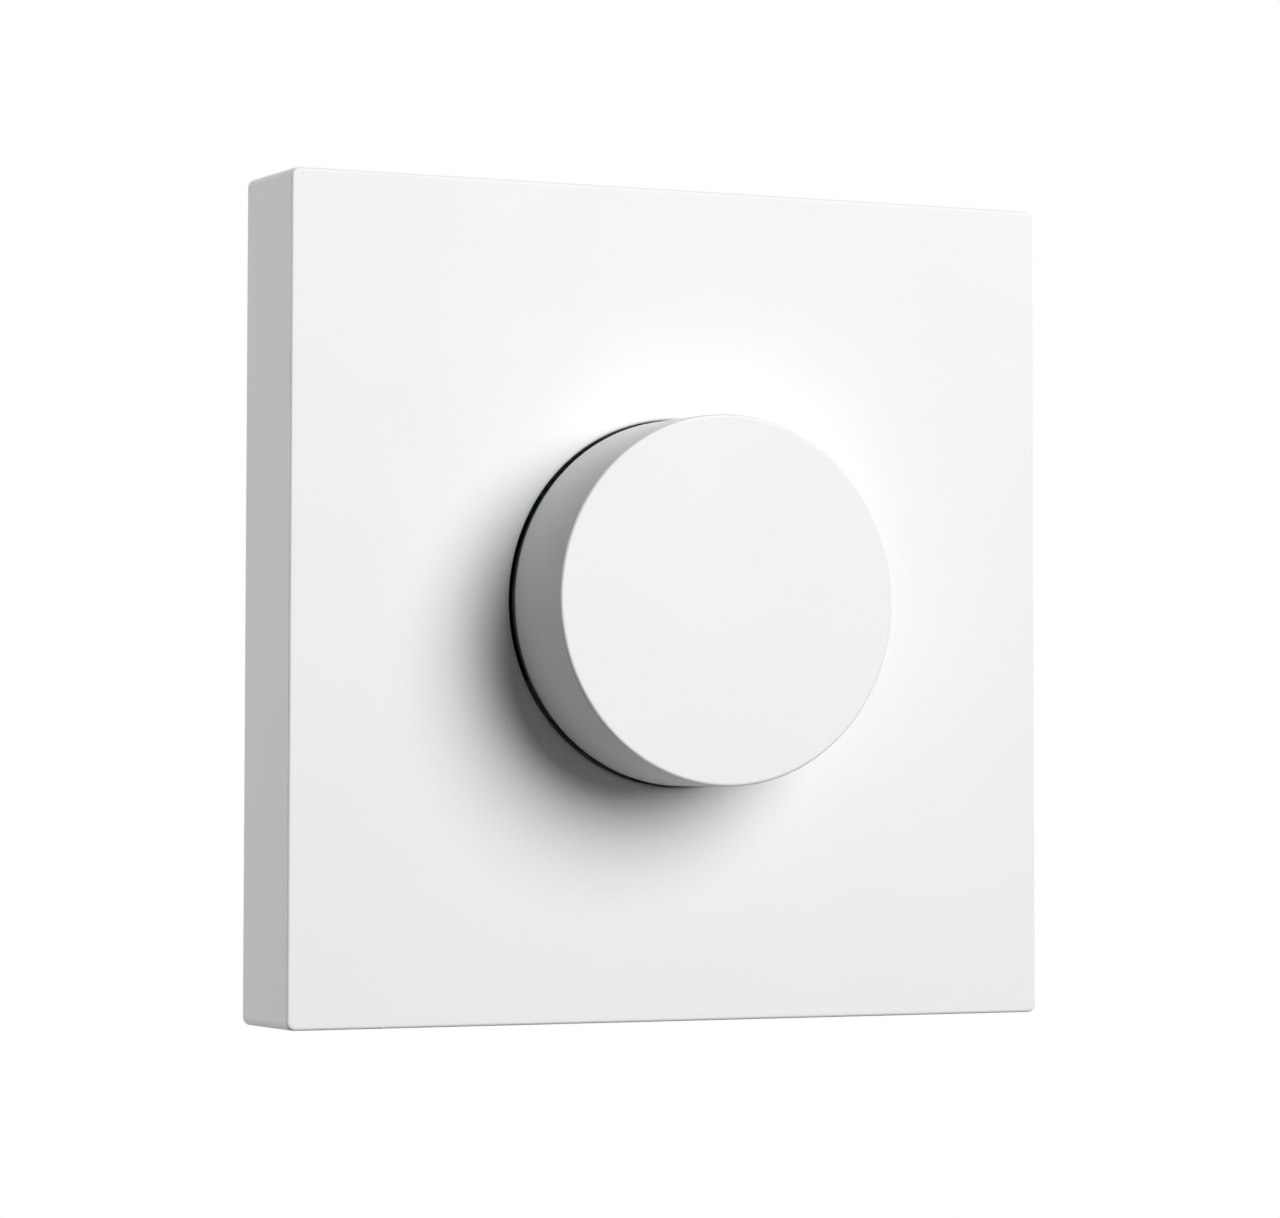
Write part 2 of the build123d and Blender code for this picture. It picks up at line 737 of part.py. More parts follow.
# Encoder rotor: a disc with radial detent ridges and a bore with two flats
with BuildPart() as encoder_rotor:
    with BuildSketch(facing(rotor_back)):
        Circle(rotor_radius)
    extrude(amount=rotor_thickness)
    ridge_length = rotor_radius - detent_inner_radius
    ridge_middle = (rotor_radius + detent_inner_radius) / 2
    with BuildSketch(facing(rotor_face)):
        with PolarLocations(ridge_middle, detent_count, start_angle=180 / detent_count):
            Rectangle(ridge_length, detent_width)
        Circle(rotor_radius, mode=Mode.INTERSECT)
    extrude(amount=detent_height, taper=20)
    with BuildSketch(facing(rotor_back)):
        Circle(shaft_tail_radius + running_clearance)
        Rectangle(
            4 * shaft_tail_radius,
            2 * (shaft_tail_flat + running_clearance),
            mode=Mode.INTERSECT,
        )
    extrude(amount=rotor_thickness, mode=Mode.SUBTRACT)
finish(encoder_rotor.part, "encoder_rotor")

# Encoder shaft: flatted end for the knob, ring groove, and a tail that slides in the rotor
with BuildPart() as encoder_shaft:
    with BuildSketch(section):
        with BuildLine():
            Polyline(
                (0, cavity_floor),
                (shaft_tail_radius, cavity_floor),
                (shaft_tail_radius, tail_front),
                (shaft_radius, tail_front),
                (shaft_radius, ring_back),
                (ring_groove_radius, ring_back),
                (ring_groove_radius, ring_front),
                (shaft_radius, ring_front),
                (shaft_radius, shaft_end - shaft_end_chamfer),
                (shaft_radius - shaft_end_chamfer, shaft_end),
                (0, shaft_end),
                close=True,
            )
        make_face()
    revolve(axis=Axis.Y)
    with BuildSketch(facing(shaft_flat_back)):
        with Locations((0, shaft_flat)):
            Rectangle(3 * shaft_radius, shaft_radius, align=(Align.CENTER, Align.MIN))
    extrude(amount=shaft_end - shaft_flat_back, mode=Mode.SUBTRACT)
    with BuildSketch(facing(cavity_floor)):
        for side in (-1, 1):
            with Locations((0, side * (shaft_tail_flat + shaft_radius / 2))):
                Rectangle(3 * shaft_radius, shaft_radius)
    extrude(amount=tail_front - cavity_floor, mode=Mode.SUBTRACT)
finish(encoder_shaft.part, "encoder_shaft")

# Retaining ring: an open ring in the shaft's groove
with BuildPart() as shaft_retaining_ring:
    with BuildSketch(facing(ring_back)):
        Circle(ring_radius)
        Circle(ring_groove_radius + running_clearance, mode=Mode.SUBTRACT)
        Rectangle(ring_gap_width, ring_radius + 1, align=(Align.CENTER, Align.MAX), mode=Mode.SUBTRACT)
    extrude(amount=ring_thickness)
finish(shaft_retaining_ring.part, "shaft_retaining_ring")

# Detent spring: a thin ring under the frame with two bowed arms whose tips sit between ridges
with BuildPart() as detent_spring:
    leaf_back = encoder_front - detent_leaf_sheet
    tip = rotor_face + detent_tip_gap + detent_leaf_sheet / 2
    arm_root = encoder_front - detent_leaf_sheet / 2
    with BuildSketch(facing(leaf_back)):
        Circle(rotor_cavity_radius - switch_clearance)
        Circle(detent_inner_radius, mode=Mode.SUBTRACT)
    extrude(amount=detent_leaf_sheet)
    for side in (-1, 1):
        arm_start = side * (detent_inner_radius + running_clearance)
        arm_plane = section.offset(-arm_start)
        with BuildSketch(arm_plane):
            with BuildLine():
                Polyline(
                    (-detent_arm_half_length, arm_root),
                    (-detent_tip_half_length, tip),
                    (detent_tip_half_length, tip),
                    (detent_arm_half_length, arm_root),
                )
            trace(line_width=detent_leaf_sheet)
        extrude(amount=-side * detent_arm_width)
    with BuildSketch(facing(encoder_front)):
        Circle(2 * rotor_cavity_radius)
    extrude(amount=1, mode=Mode.SUBTRACT)
finish(detent_spring.part, "detent_spring")

# Switch plunger: a disc with a nub that presses the dome
with BuildPart() as switch_plunger:
    with BuildSketch(facing(cavity_floor - plunger_disc_height)):
        Circle(switch_pocket_radius - switch_clearance)
    extrude(amount=plunger_disc_height)
    with BuildSketch(facing(plunger_back)):
        Circle(plunger_nub_radius)
    extrude(amount=plunger_nub_height)
finish(switch_plunger.part, "switch_plunger")

# Dome spring: a shallow cap of thin sheet
with BuildPart() as dome_spring:
    dome_sphere = (dome_radius**2 + dome_height**2) / (2 * dome_height)
    with BuildSketch(section):
        with Locations((0, dome_base + dome_height - dome_sphere)):
            Circle(dome_sphere)
            Circle(dome_sphere - dome_sheet, mode=Mode.SUBTRACT)
        with Locations((0, dome_base)):
            Rectangle(
                2 * dome_radius,
                2 * dome_height,
                align=(Align.MIN, Align.MIN),
                mode=Mode.INTERSECT,
            )
    revolve(axis=Axis.Y)
finish(dome_spring.part, "dome_spring")

# Knob carrier: a ribbed cup with a flange under the cap's edge and a hub on the shaft
with BuildPart() as knob_carrier:
    with BuildSketch(section):
        with BuildLine():
            Polyline(
                (carrier_inner_radius, carrier_back),
                (carrier_flange_radius, carrier_back),
                (carrier_flange_radius, knob_back),
                (carrier_radius, knob_back),
                (carrier_radius, carrier_front),
                (0, carrier_front),
                (0, hub_back),
                (carrier_hub_radius, hub_back),
                (carrier_hub_radius, carrier_front - carrier_web),
                (carrier_inner_radius, carrier_front - carrier_web),
                close=True,
            )
        make_face()
    revolve(axis=Axis.Y)
    with BuildSketch(facing(carrier_front - carrier_web - carrier_rib_height)):
        with PolarLocations(0, carrier_rib_count):
            with Locations((carrier_hub_radius - 0.5, 0)):
                Rectangle(
                    carrier_inner_radius - carrier_hub_radius + 1,
                    carrier_rib_width,
                    align=(Align.MIN, Align.CENTER),
                )
    extrude(amount=carrier_rib_height)
    with BuildSketch(facing(hub_back)):
        Circle(shaft_radius + carrier_bore_clearance)
        with Locations((0, shaft_flat + carrier_bore_clearance)):
            Rectangle(
                3 * shaft_radius,
                shaft_radius,
                align=(Align.CENTER, Align.MIN),
                mode=Mode.SUBTRACT,
            )
    extrude(amount=carrier_front - hub_back, mode=Mode.SUBTRACT)
    with BuildSketch(facing(knob_back)):
        with PolarLocations(carrier_radius, key_count, start_angle=90):
            Rectangle(2 * (key_depth + carrier_clearance), key_width + 2 * carrier_clearance)
    extrude(amount=carrier_front - knob_back, mode=Mode.SUBTRACT)
finish(knob_carrier.part, "knob_carrier")

# Knob cap: a plain cup with three inner keys
with BuildPart() as knob_cap:
    with BuildSketch(facing(knob_back)):
        Circle(knob_radius)
    extrude(amount=knob_front - knob_back)
    fillet(knob_cap.faces().sort_by(Axis.Y)[0].edges(), knob_edge_radius)
    fillet(knob_cap.faces().sort_by(Axis.Y)[-1].edges(), knob_skirt_radius)
    with BuildSketch(facing(knob_back)):
        Circle(cap_inner_radius)
    extrude(amount=carrier_front - knob_back, mode=Mode.SUBTRACT)
    with BuildSketch(facing(knob_back + knob_gap)):
        with PolarLocations(cap_inner_radius, key_count, start_angle=90):
            Rectangle(2 * key_depth, key_width)
        Circle(cap_inner_radius + knob_side_wall / 2, mode=Mode.INTERSECT)
    extrude(amount=carrier_front - knob_back - knob_gap)
finish(knob_cap.part, "knob_cap")
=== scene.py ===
"""Wireless knob switch: models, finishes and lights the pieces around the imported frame.

Every length is in metres. X runs to the right, Y into the wall and Z up, and a depth is a
distance from the wall towards the room, so a point at depth d has Y = -d.
"""

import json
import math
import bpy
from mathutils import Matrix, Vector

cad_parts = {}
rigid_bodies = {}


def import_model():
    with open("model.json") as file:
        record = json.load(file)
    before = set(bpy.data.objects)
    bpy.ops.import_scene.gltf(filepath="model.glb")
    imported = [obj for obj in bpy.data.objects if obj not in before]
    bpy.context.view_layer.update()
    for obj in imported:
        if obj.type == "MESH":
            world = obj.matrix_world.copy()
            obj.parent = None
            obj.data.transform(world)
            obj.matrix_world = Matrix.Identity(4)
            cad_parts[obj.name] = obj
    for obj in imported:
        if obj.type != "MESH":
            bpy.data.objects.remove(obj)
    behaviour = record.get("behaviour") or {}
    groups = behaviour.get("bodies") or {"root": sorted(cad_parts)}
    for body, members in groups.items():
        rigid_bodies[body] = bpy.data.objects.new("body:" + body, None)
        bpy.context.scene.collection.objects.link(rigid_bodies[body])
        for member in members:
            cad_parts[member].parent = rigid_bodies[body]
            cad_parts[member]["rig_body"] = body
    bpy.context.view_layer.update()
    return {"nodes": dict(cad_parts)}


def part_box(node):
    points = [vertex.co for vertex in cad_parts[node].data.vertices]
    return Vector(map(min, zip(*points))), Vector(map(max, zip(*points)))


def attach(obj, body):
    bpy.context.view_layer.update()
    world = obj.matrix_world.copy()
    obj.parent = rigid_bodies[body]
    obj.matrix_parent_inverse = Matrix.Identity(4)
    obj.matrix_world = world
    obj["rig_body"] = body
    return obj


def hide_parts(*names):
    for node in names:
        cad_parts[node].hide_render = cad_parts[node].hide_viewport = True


bl_info = {
    "name": "Wireless Knob Switch",
    "version": (1, 0, 0),
    "blender": (4, 5, 0),
    "location": "3D Viewport > Sidebar > Knob Switch",
    "description": "Builds a wireless knob switch piece by piece, with its finishes and its stage",
    "category": "Add Mesh",
}

import bmesh
import bpy
from bpy.props import FloatProperty, FloatVectorProperty, IntProperty, PointerProperty
from mathutils import Matrix, Vector

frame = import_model()

MM = 0.001

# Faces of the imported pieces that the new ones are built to
panel_low, panel_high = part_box("front_panel")
cap_low, cap_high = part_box("knob_cap")
bracket_low, bracket_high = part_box("wall_bracket")
cell_low, cell_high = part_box("coin_cell_left")


# Settings


def length_setting(name, description, value, least, most):
    """The setting of a small length, with its values given in millimetres."""
    limits = {"min": least * MM, "max": most * MM}
    return FloatProperty(
        name=name, description=description, default=value * MM, precision=5, unit="LENGTH", **limits
    )


def colour_setting(name, description, value):
    """A colour setting with an opaque alpha."""
    colour = {"default": (*value, 1.0), "size": 4, "subtype": "COLOR"}
    return FloatVectorProperty(name=name, description=description, min=0.0, max=1.0, **colour)


def power_setting(name, description, value):
    """The power setting of a studio light."""
    return FloatProperty(name=name, description=description, default=value, min=0.0, unit="POWER")


def share_setting(name, description, value):
    """A setting between 0 and 1."""
    return FloatProperty(name=name, description=description, default=value, min=0.0, max=1.0)


class KnobSwitchSizes(bpy.types.PropertyGroup):
    """Roundings and fineness of the modelled pieces"""

    panel_corner: length_setting(
        "Panel Corner", "Radius of the front panel's four corners, seen from the front", 0.9, 0.2, 5
    )
    panel_edge: length_setting(
        "Panel Edge", "Rounding between the front panel's face and its sides", 0.3, 0.05, 0.8
    )
    opening_edge: length_setting(
        "Opening Edge", "Rounding of the edge of the knob's opening", 0.3, 0.05, 0.8
    )
    knob_edge: length_setting(
        "Knob Edge", "Rounding between the knob's face and its side", 0.3, 0.05, 1.2
    )
    knob_skirt: length_setting(
        "Knob Skirt", "Rounding of the knob's edge next to the panel", 0.3, 0.03, 0.6
    )
    eased_edge: length_setting(
        "Eased Edge", "Width of the small bevel on the edges of the other pieces", 0.08, 0.02, 0.2
    )
    turn_steps: IntProperty(
        name="Turn Steps", default=192, min=48, max=512,
        description="Number of steps in one full turn of a round piece",
    )


class KnobSwitchColours(bpy.types.PropertyGroup):
    """Colours of the finishes"""

    panel: colour_setting("Panel", "Moulded plastic of the front panel", (0.90, 0.90, 0.90))
    knob: colour_setting("Knob", "Moulded plastic of the knob cap", (0.90, 0.90, 0.90))
    rear: colour_setting("Rear", "Moulded plastic of the rear cover", (0.80, 0.80, 0.79))
    bracket: colour_setting("Bracket", "Moulded plastic of the wall bracket", (0.76, 0.76, 0.75))
    carrier: colour_setting("Carrier", "Moulded plastic inside the knob", (0.50, 0.50, 0.50))
    board: colour_setting("Board", "Solder mask of the circuit boards", (0.015, 0.062, 0.038))


class KnobSwitchStage(bpy.types.PropertyGroup):
    """Studio light, floor and background"""

    key_power: power_setting(
        "Key Light", "Power of the large soft light in front, above and to the right", 66.0
    )
    side_power: power_setting(
        "Side Light", "Power of the soft light that reaches the left side only", 3.5
    )
    back_power: power_setting(
        "Back Light", "Power of the soft lights on the right, the top and the back", 2.2
    )
    surround: share_setting(
        "Surround", "Brightness of the surroundings as light on the object", 0.0
    )
    floor_tint: share_setting(
        "Floor Tint", "Share of the light that the floor returns to the object", 0.08
    )
    floor_drop: FloatProperty(
        name="Floor Drop", default=0.25, min=0.05, unit="LENGTH",
        description="Distance from the switch's centre down to the floor",
    )


# Mesh tools

NEAR = 1e-6
SMOOTH_LIMIT = math.radians(35)
SHARP_LIMIT = math.radians(40)
FLAT_LIMIT = math.radians(0.5)


def bevel(bm, geom, kind, width, segments):
    """Rounds edges or vertices to this width."""
    bmesh.ops.bevel(
        bm, geom=geom, affect=kind, offset=width, offset_type="OFFSET", segments=segments,
        profile=0.5, material=-1,
    )


def ease(bm, edges, width, segments=2):
    """Rounds edges to this width."""
    bevel(bm, edges, "EDGES", width, segments)


def rounded_chain(bm, points, radii=(), closed=True, segments=6, hold=0.0):
    """Edges through a few points, with those corners rounded that have a radius.

    With hold, a short straight beside each rounding keeps the flat face next to it flat.
    """
    before = set(bm.edges)
    verts = [bm.verts.new(point) for point in points]
    pairs = list(zip(verts, verts[1:]))
    if closed:
        pairs.append((verts[-1], verts[0]))
    for pair in pairs:
        bm.edges.new(pair)
    for vert, radius in zip(verts, radii):
        if not radius:
            continue
        if hold:
            for edge in list(vert.link_edges):
                share = (radius + hold) / edge.calc_length()
                if share < 0.5:
                    bmesh.utils.edge_split(edge, vert, share)
        bevel(bm, [vert], "VERTICES", radius, segments)
    return [edge for edge in bm.edges if edge not in before]


def rectangle(bm, width, height, radius, depth, centre=(0, 0), segments=6):
    """A loop of edges at one depth: a rounded rectangle, or a slot at the largest radius."""
    x, z = centre
    radius = min(radius, 0.4999 * min(width, height))
    points = [
        (x + i * width / 2, -depth, z + j * height / 2)
        for i, j in ((-1, -1), (1, -1), (1, 1), (-1, 1))
    ]
    return rounded_chain(bm, points, [radius] * 4, segments=segments)


def circle(bm, radius, depth, steps):
    """A loop of edges at one depth: a circle about the Y axis."""
    turn = Matrix.Translation((0, -depth, 0)) @ Matrix.Rotation(math.radians(90), 4, "X")
    made = bmesh.ops.create_circle(bm, segments=steps, radius=radius, matrix=turn)
    return list({edge for vert in made["verts"] for edge in vert.link_edges})


def pick(geom, kind):
    """The items of one kind in new geometry."""
    return [item for item in geom if isinstance(item, kind)]


def move(bm, geom, depth, scale=1.0):
    """Moves the vertices of new geometry towards the room, and scales them about the Y axis."""
    verts = pick(geom, bmesh.types.BMVert)
    bmesh.ops.translate(bm, verts=verts, vec=(0, -depth, 0))
    if scale != 1.0:
        bmesh.ops.scale(bm, verts=verts, vec=(scale, 1, scale))
    return set(verts)


def pull(bm, loop, depth=0.0, scale=1.0):
    """Extrudes a loop of edges and returns the new loop."""
    made = bmesh.ops.extrude_edge_only(bm, edges=loop)["geom"]
    ends = move(bm, made, depth, scale)
    return [edge for edge in pick(made, bmesh.types.BMEdge) if ends.issuperset(edge.verts)]


def fill(bm, *loops, rim=0.0):
    """Fills the flat area between loops, with a narrow even strip of faces along each loop."""
    edges = [edge for loop in loops for edge in loop]
    made = bmesh.ops.triangle_fill(bm, use_beauty=True, edges=edges, normal=(0, -1, 0))
    faces = pick(made["geom"], bmesh.types.BMFace)
    if rim:
        faces += bmesh.ops.inset_region(
            bm, faces=faces, thickness=rim, use_boundary=True, use_even_offset=True
        )["faces"]
    return faces


def slab(bm, loops, thickness, rim):
    """A flat plate towards the room from the area between loops."""
    faces = fill(bm, *loops, rim=rim)
    made = bmesh.ops.extrude_face_region(bm, geom=faces)["geom"]
    move(bm, made, thickness)


def block(bm, low, high, turn=0.0):
    """A box between two corners given as (x, depth, z), turned about the Y axis."""
    size = Vector(high) - Vector(low)
    centre = (Vector(high) + Vector(low)) / 2
    place = Matrix.Translation((centre.x, -centre.y, centre.z))
    spread = Matrix.Diagonal((abs(size.x), abs(size.y), abs(size.z), 1))
    made = bmesh.ops.create_cube(
        bm, size=1.0, matrix=Matrix.Rotation(turn, 4, "Y") @ place @ spread
    )
    return list({edge for vert in made["verts"] for edge in vert.link_edges})


def sharp_edges(bm):
    """Edges whose faces turn by more than the limit."""
    edges = [edge for edge in bm.edges if edge.is_manifold]
    return [edge for edge in edges if edge.calc_face_angle(0) > SHARP_LIMIT]


def tidy(bm):
    """Closes seams and poles, drops edges without a face and turns the faces outwards."""
    bmesh.ops.remove_doubles(bm, verts=bm.verts[:], dist=2e-7)
    loose = [edge for edge in bm.edges if edge.is_wire]
    bmesh.ops.delete(bm, geom=loose, context="EDGES")
    bm.normal_update()
    bmesh.ops.recalc_face_normals(bm, faces=bm.faces[:])


def turned(corners, steps, closed=False, hold=0.06 * MM):
    """A round solid about the Y axis from corners given as (radius, depth, rounding)."""
    bm = bmesh.new()
    points = [(radius, -depth, 0) for radius, depth, _ in corners]
    roundings = [rounding for _, _, rounding in corners]
    rounded_chain(bm, points, roundings, closed, segments=5, hold=hold)
    bmesh.ops.spin(
        bm, geom=bm.verts[:] + bm.edges[:], cent=(0, 0, 0), axis=(0, 1, 0), angle=math.tau,
        steps=steps, use_merge=True,
    )
    tidy(bm)
    return bm


def add_copy(bm, other, place):
    """Adds a copy of another bmesh at this place."""
    mesh = bpy.data.meshes.new("copy")
    other.to_mesh(mesh)
    mesh.transform(place)
    bm.from_mesh(mesh)
    bpy.data.meshes.remove(mesh)


def finished_mesh(bm, name, materials):
    """The mesh that a bmesh ends as, with its materials."""
    mesh = bpy.data.meshes.new(name)
    bm.to_mesh(mesh)
    bm.free()
    for material in materials:
        mesh.materials.append(material)
    return mesh


def add_object(name, data):
    """A new object in the scene."""
    made = bpy.data.objects.new(name, data)
    bpy.context.scene.collection.objects.link(made)
    return made


def show(bm, name, slot, stands_for, *materials):
    """Makes the finished piece from a bmesh. It rides on the body of the nodes it stands for."""
    mesh = finished_mesh(bm, name, materials)
    for face in mesh.polygons:
        face.use_smooth = True
    mesh.set_sharp_from_angle(angle=SMOOTH_LIMIT)
    piece = add_object(name, mesh)
    normals = piece.modifiers.new("Flat faces", "WEIGHTED_NORMAL")
    normals.keep_sharp = True
    normals.weight = 80
    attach(piece, frame["nodes"][stands_for]["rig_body"])
    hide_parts(stands_for)


def eased_copy(node, material, width):
    """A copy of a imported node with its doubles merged, its flats joined and its edges eased."""
    source = frame["nodes"][node]
    bm = bmesh.new()
    bm.from_mesh(source.data)
    bmesh.ops.remove_doubles(bm, verts=bm.verts[:], dist=NEAR)
    bmesh.ops.dissolve_limit(bm, angle_limit=FLAT_LIMIT, verts=bm.verts[:], edges=bm.edges[:])
    ease(bm, sharp_edges(bm), width)
    show(bm, node + "_eased", source.material_slots[0].name, node, material)


def dress(metal, *nodes):
    """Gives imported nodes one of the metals."""
    for node in nodes:
        frame["nodes"][node].material_slots[0].material = sheet_metal(metal)


# Finishes

# Plastics: colour or the name of its setting, roughness, grain scale and grain depth
PLASTICS = {
    "panel_plastic": ("panel", 0.42, 5200.0, 1.2e-6),
    "knob_plastic": ("knob", 0.38, 5200.0, 1.2e-6),
    "carrier_plastic": ("carrier", 0.5, 3800.0, 3e-6),
    "bracket_plastic": ("bracket", 0.5, 3200.0, 4e-6),
    "cover_plastic": ("rear", 0.48, 3800.0, 3e-6),
    "cell_gasket": ((0.02, 0.02, 0.022, 1), 0.55, 5200.0, 1.2e-6),
    "chip_epoxy": ((0.022, 0.022, 0.024, 1), 0.45, 9000.0, 3e-6),
    "capacitor_ceramic": ((0.42, 0.27, 0.14, 1), 0.5, 7000.0, 1.2e-6),
    "encoder_nylon": ((0.03, 0.03, 0.032, 1), 0.5, 5000.0, 4e-6),
    "ivory_acetal": ((0.72, 0.68, 0.58, 1), 0.36, 6000.0, 1.2e-6),
}

# Metals: colour, roughness, line scale and line depth
METALS = {
    "cell_plating": ((0.62, 0.61, 0.58, 1), 0.24, 6000.0, 1e-6),
    "screw_plating": ((0.55, 0.55, 0.56, 1), 0.3, 12000.0, 1e-6),
    "contact_plating": ((0.68, 0.65, 0.58, 1), 0.22, 9000.0, 1e-6),
    "shield_plating": ((0.66, 0.66, 0.64, 1), 0.3, 9000.0, 1e-6),
    "solder_tin": ((0.7, 0.7, 0.7, 1), 0.28, 9000.0, 1e-6),
    "cast_zinc": ((0.5, 0.5, 0.51, 1), 0.38, 4000.0, 3e-6),
    "spring_steel": ((0.48, 0.48, 0.47, 1), 0.2, 14000.0, 1e-6),
    "turned_shaft": ((0.7, 0.7, 0.71, 1), 0.24, 16000.0, 1e-6),
}

# Sockets of a Mix node that mixes two colours
MIX_FIRST, MIX_SECOND, MIX_RESULT = 6, 7, 2

# Kinds of the group sockets that aren't plain numbers
SOCKET_KINDS = {"Vector": "NodeSocketVector", "Color": "NodeSocketColor"}


def node_group(name, inputs, outputs):
    """A new shader node group with its sockets, and its group nodes."""
    group = bpy.data.node_groups.new(name, "ShaderNodeTree")
    for label, value in inputs.items():
        kind = SOCKET_KINDS.get(label, "NodeSocketFloat")
        socket = group.interface.new_socket(label, in_out="INPUT", socket_type=kind)
        socket.default_value = value
    for label in outputs:
        kind = SOCKET_KINDS.get(label, "NodeSocketFloat")
        group.interface.new_socket(label, in_out="OUTPUT", socket_type=kind)
    start = group.nodes.new("NodeGroupInput")
    end = group.nodes.new("NodeGroupOutput")
    start.location, end.location = (-900, 0), (500, 0)
    return group, start, end


def feed(tree, socket, value):
    """Links another socket to this one, or sets its value."""
    if isinstance(value, bpy.types.NodeSocket):
        tree.links.new(value, socket)
    else:
        socket.default_value = value


def add_node(tree, kind, place, **values):
    """Adds a node, sets its properties, and sets or links its inputs."""
    made = tree.nodes.new(kind)
    made.location = place
    for label, value in values.items():
        if hasattr(made, label) and not isinstance(value, bpy.types.NodeSocket):
            setattr(made, label, value)
        else:
            feed(tree, made.inputs[label.replace("_", " ").title()], value)
    return made


def calculate(tree, operation, place, *values):
    """Adds a Math node on numbers or sockets, and returns its result."""
    made = add_node(tree, "ShaderNodeMath", place, operation=operation)
    for socket, value in zip(made.inputs, values):
        feed(tree, socket, value)
    return made.outputs[0]


def blend(tree, place, factor, first, second, blend_type="MIX"):
    """Adds a Mix node on two colours, and returns its result."""
    made = add_node(tree, "ShaderNodeMix", place, data_type="RGBA", blend_type=blend_type)
    feed(tree, made.inputs["Factor"], factor)
    feed(tree, made.inputs[MIX_FIRST], first)
    feed(tree, made.inputs[MIX_SECOND], second)
    return made.outputs[MIX_RESULT]


def noise(tree, place, vector, scale, detail, roughness=0.5):
    """Adds a Noise Texture node, and returns its value."""
    values = {"vector": vector, "scale": scale, "detail": detail, "roughness": roughness}
    return add_node(tree, "ShaderNodeTexNoise", place, **values).outputs["Fac"]


def pattern_group(name, *defaults):
    """A new group that changes a colour and its gloss, and gives a height for the relief."""
    labels = ("Color", "Tint", "Roughness", "Gloss Spread", "Pattern Scale")
    inputs = {"Vector": (0, 0, 0), **dict(zip(labels, defaults))}
    return node_group(name, inputs, ("Color", "Roughness", "Height"))


def vary(group, start, end, patches, uneven, stain):
    """Stains the colour in soft patches, and varies the gloss by a value about 0."""
    darker = calculate(group, "MULTIPLY", (-400, 300), patches, start.outputs["Tint"])
    shade = blend(group, (-150, 250), darker, start.outputs["Color"], stain, "MULTIPLY")
    spread, roughness = start.outputs["Gloss Spread"], start.outputs["Roughness"]
    gloss = calculate(group, "MULTIPLY_ADD", (-50, 0), uneven, spread, roughness)
    group.links.new(shade, end.inputs["Color"])
    group.links.new(gloss, end.inputs["Roughness"])


def mould_grain():
    """Fine eroded mould texture: slight changes of colour and gloss, and a height for the grain."""
    name = "Mould Grain"
    if name in bpy.data.node_groups:
        return bpy.data.node_groups[name]
    group, start, end = pattern_group(name, (0.9, 0.9, 0.9, 1), 0.02, 0.4, 0.08, 5000.0)
    place, scale = start.outputs["Vector"], start.outputs["Pattern Scale"]
    grain = noise(group, (-600, -250), place, scale, 3.0, 0.6)
    flow = noise(group, (-600, 150), place, 55.0, 2.0)
    both = calculate(group, "ADD", (-400, 0), flow, grain)
    uneven = calculate(group, "SUBTRACT", (-250, 0), both, 1.0)
    vary(group, start, end, flow, uneven, (0.55, 0.55, 0.55, 1))
    group.links.new(grain, end.inputs["Height"])
    return group


def rolled_metal():
    """Rolled or drawn metal: long faint lines along X, small stains and a height for the lines."""
    name = "Rolled Metal"
    if name in bpy.data.node_groups:
        return bpy.data.node_groups[name]
    group, start, end = pattern_group(name, (0.7, 0.7, 0.7, 1), 0.3, 0.25, 0.15, 9000.0)
    place, scale = start.outputs["Vector"], start.outputs["Pattern Scale"]
    stretch = add_node(
        group, "ShaderNodeMapping", (-750, -250), vector=place, scale=(0.04, 1.0, 1.0)
    ).outputs["Vector"]
    lines = noise(group, (-550, -250), stretch, scale, 2.0)
    stain = noise(group, (-550, 150), place, 900.0, 4.0)
    uneven = calculate(group, "SUBTRACT", (-250, 0), stain, 0.5)
    vary(group, start, end, stain, uneven, (0.45, 0.43, 0.4, 1))
    group.links.new(lines, end.inputs["Height"])
    return group


def shader(name):
    """A new material with a node tree, its Principled shader and its object coordinates."""
    material = bpy.data.materials.new(name)
    material.use_nodes = True
    tree = material.node_tree
    surface = tree.nodes["Principled BSDF"]
    place = add_node(tree, "ShaderNodeTexCoord", (-900, 0))
    return material, tree, surface, place.outputs["Object"]


def add_relief(tree, surface, height, depth):
    """Bumps the surface by a height, up to this deep."""
    relief = add_node(
        tree, "ShaderNodeBump", (-300, -250), strength=1.0, distance=depth, height=height
    )
    tree.links.new(relief.outputs["Normal"], surface.inputs["Normal"])


def patterned(name, group, colour, finish, tint, spread, metallic=0.0):
    """A material whose colour, gloss and relief come from one of the pattern groups."""
    if name in bpy.data.materials:
        return bpy.data.materials[name]
    material, tree, surface, place = shader(name)
    roughness, scale, depth = finish
    pattern = add_node(
        tree, "ShaderNodeGroup", (-600, 0), node_tree=group, vector=place, tint=tint,
        roughness=roughness, gloss_spread=spread, pattern_scale=scale,
    )
    pattern.inputs["Color"].default_value = colour
    surface.inputs["Metallic"].default_value = metallic
    tree.links.new(pattern.outputs["Color"], surface.inputs["Base Color"])
    tree.links.new(pattern.outputs["Roughness"], surface.inputs["Roughness"])
    add_relief(tree, surface, pattern.outputs["Height"], depth)
    return material


def moulded(name):
    """One of the plastics, with its fine eroded grain."""
    colour, *finish = PLASTICS[name]
    if isinstance(colour, str):
        colour = getattr(bpy.context.scene.knob_switch_colours, colour)
    return patterned(name, mould_grain(), colour, finish, tint=0.03, spread=0.10)


def sheet_metal(name):
    """One of the metals, with faint lines from rolling or turning."""
    colour, *finish = METALS[name]
    return patterned(name, rolled_metal(), colour, finish, tint=0.35, spread=0.16, metallic=1.0)


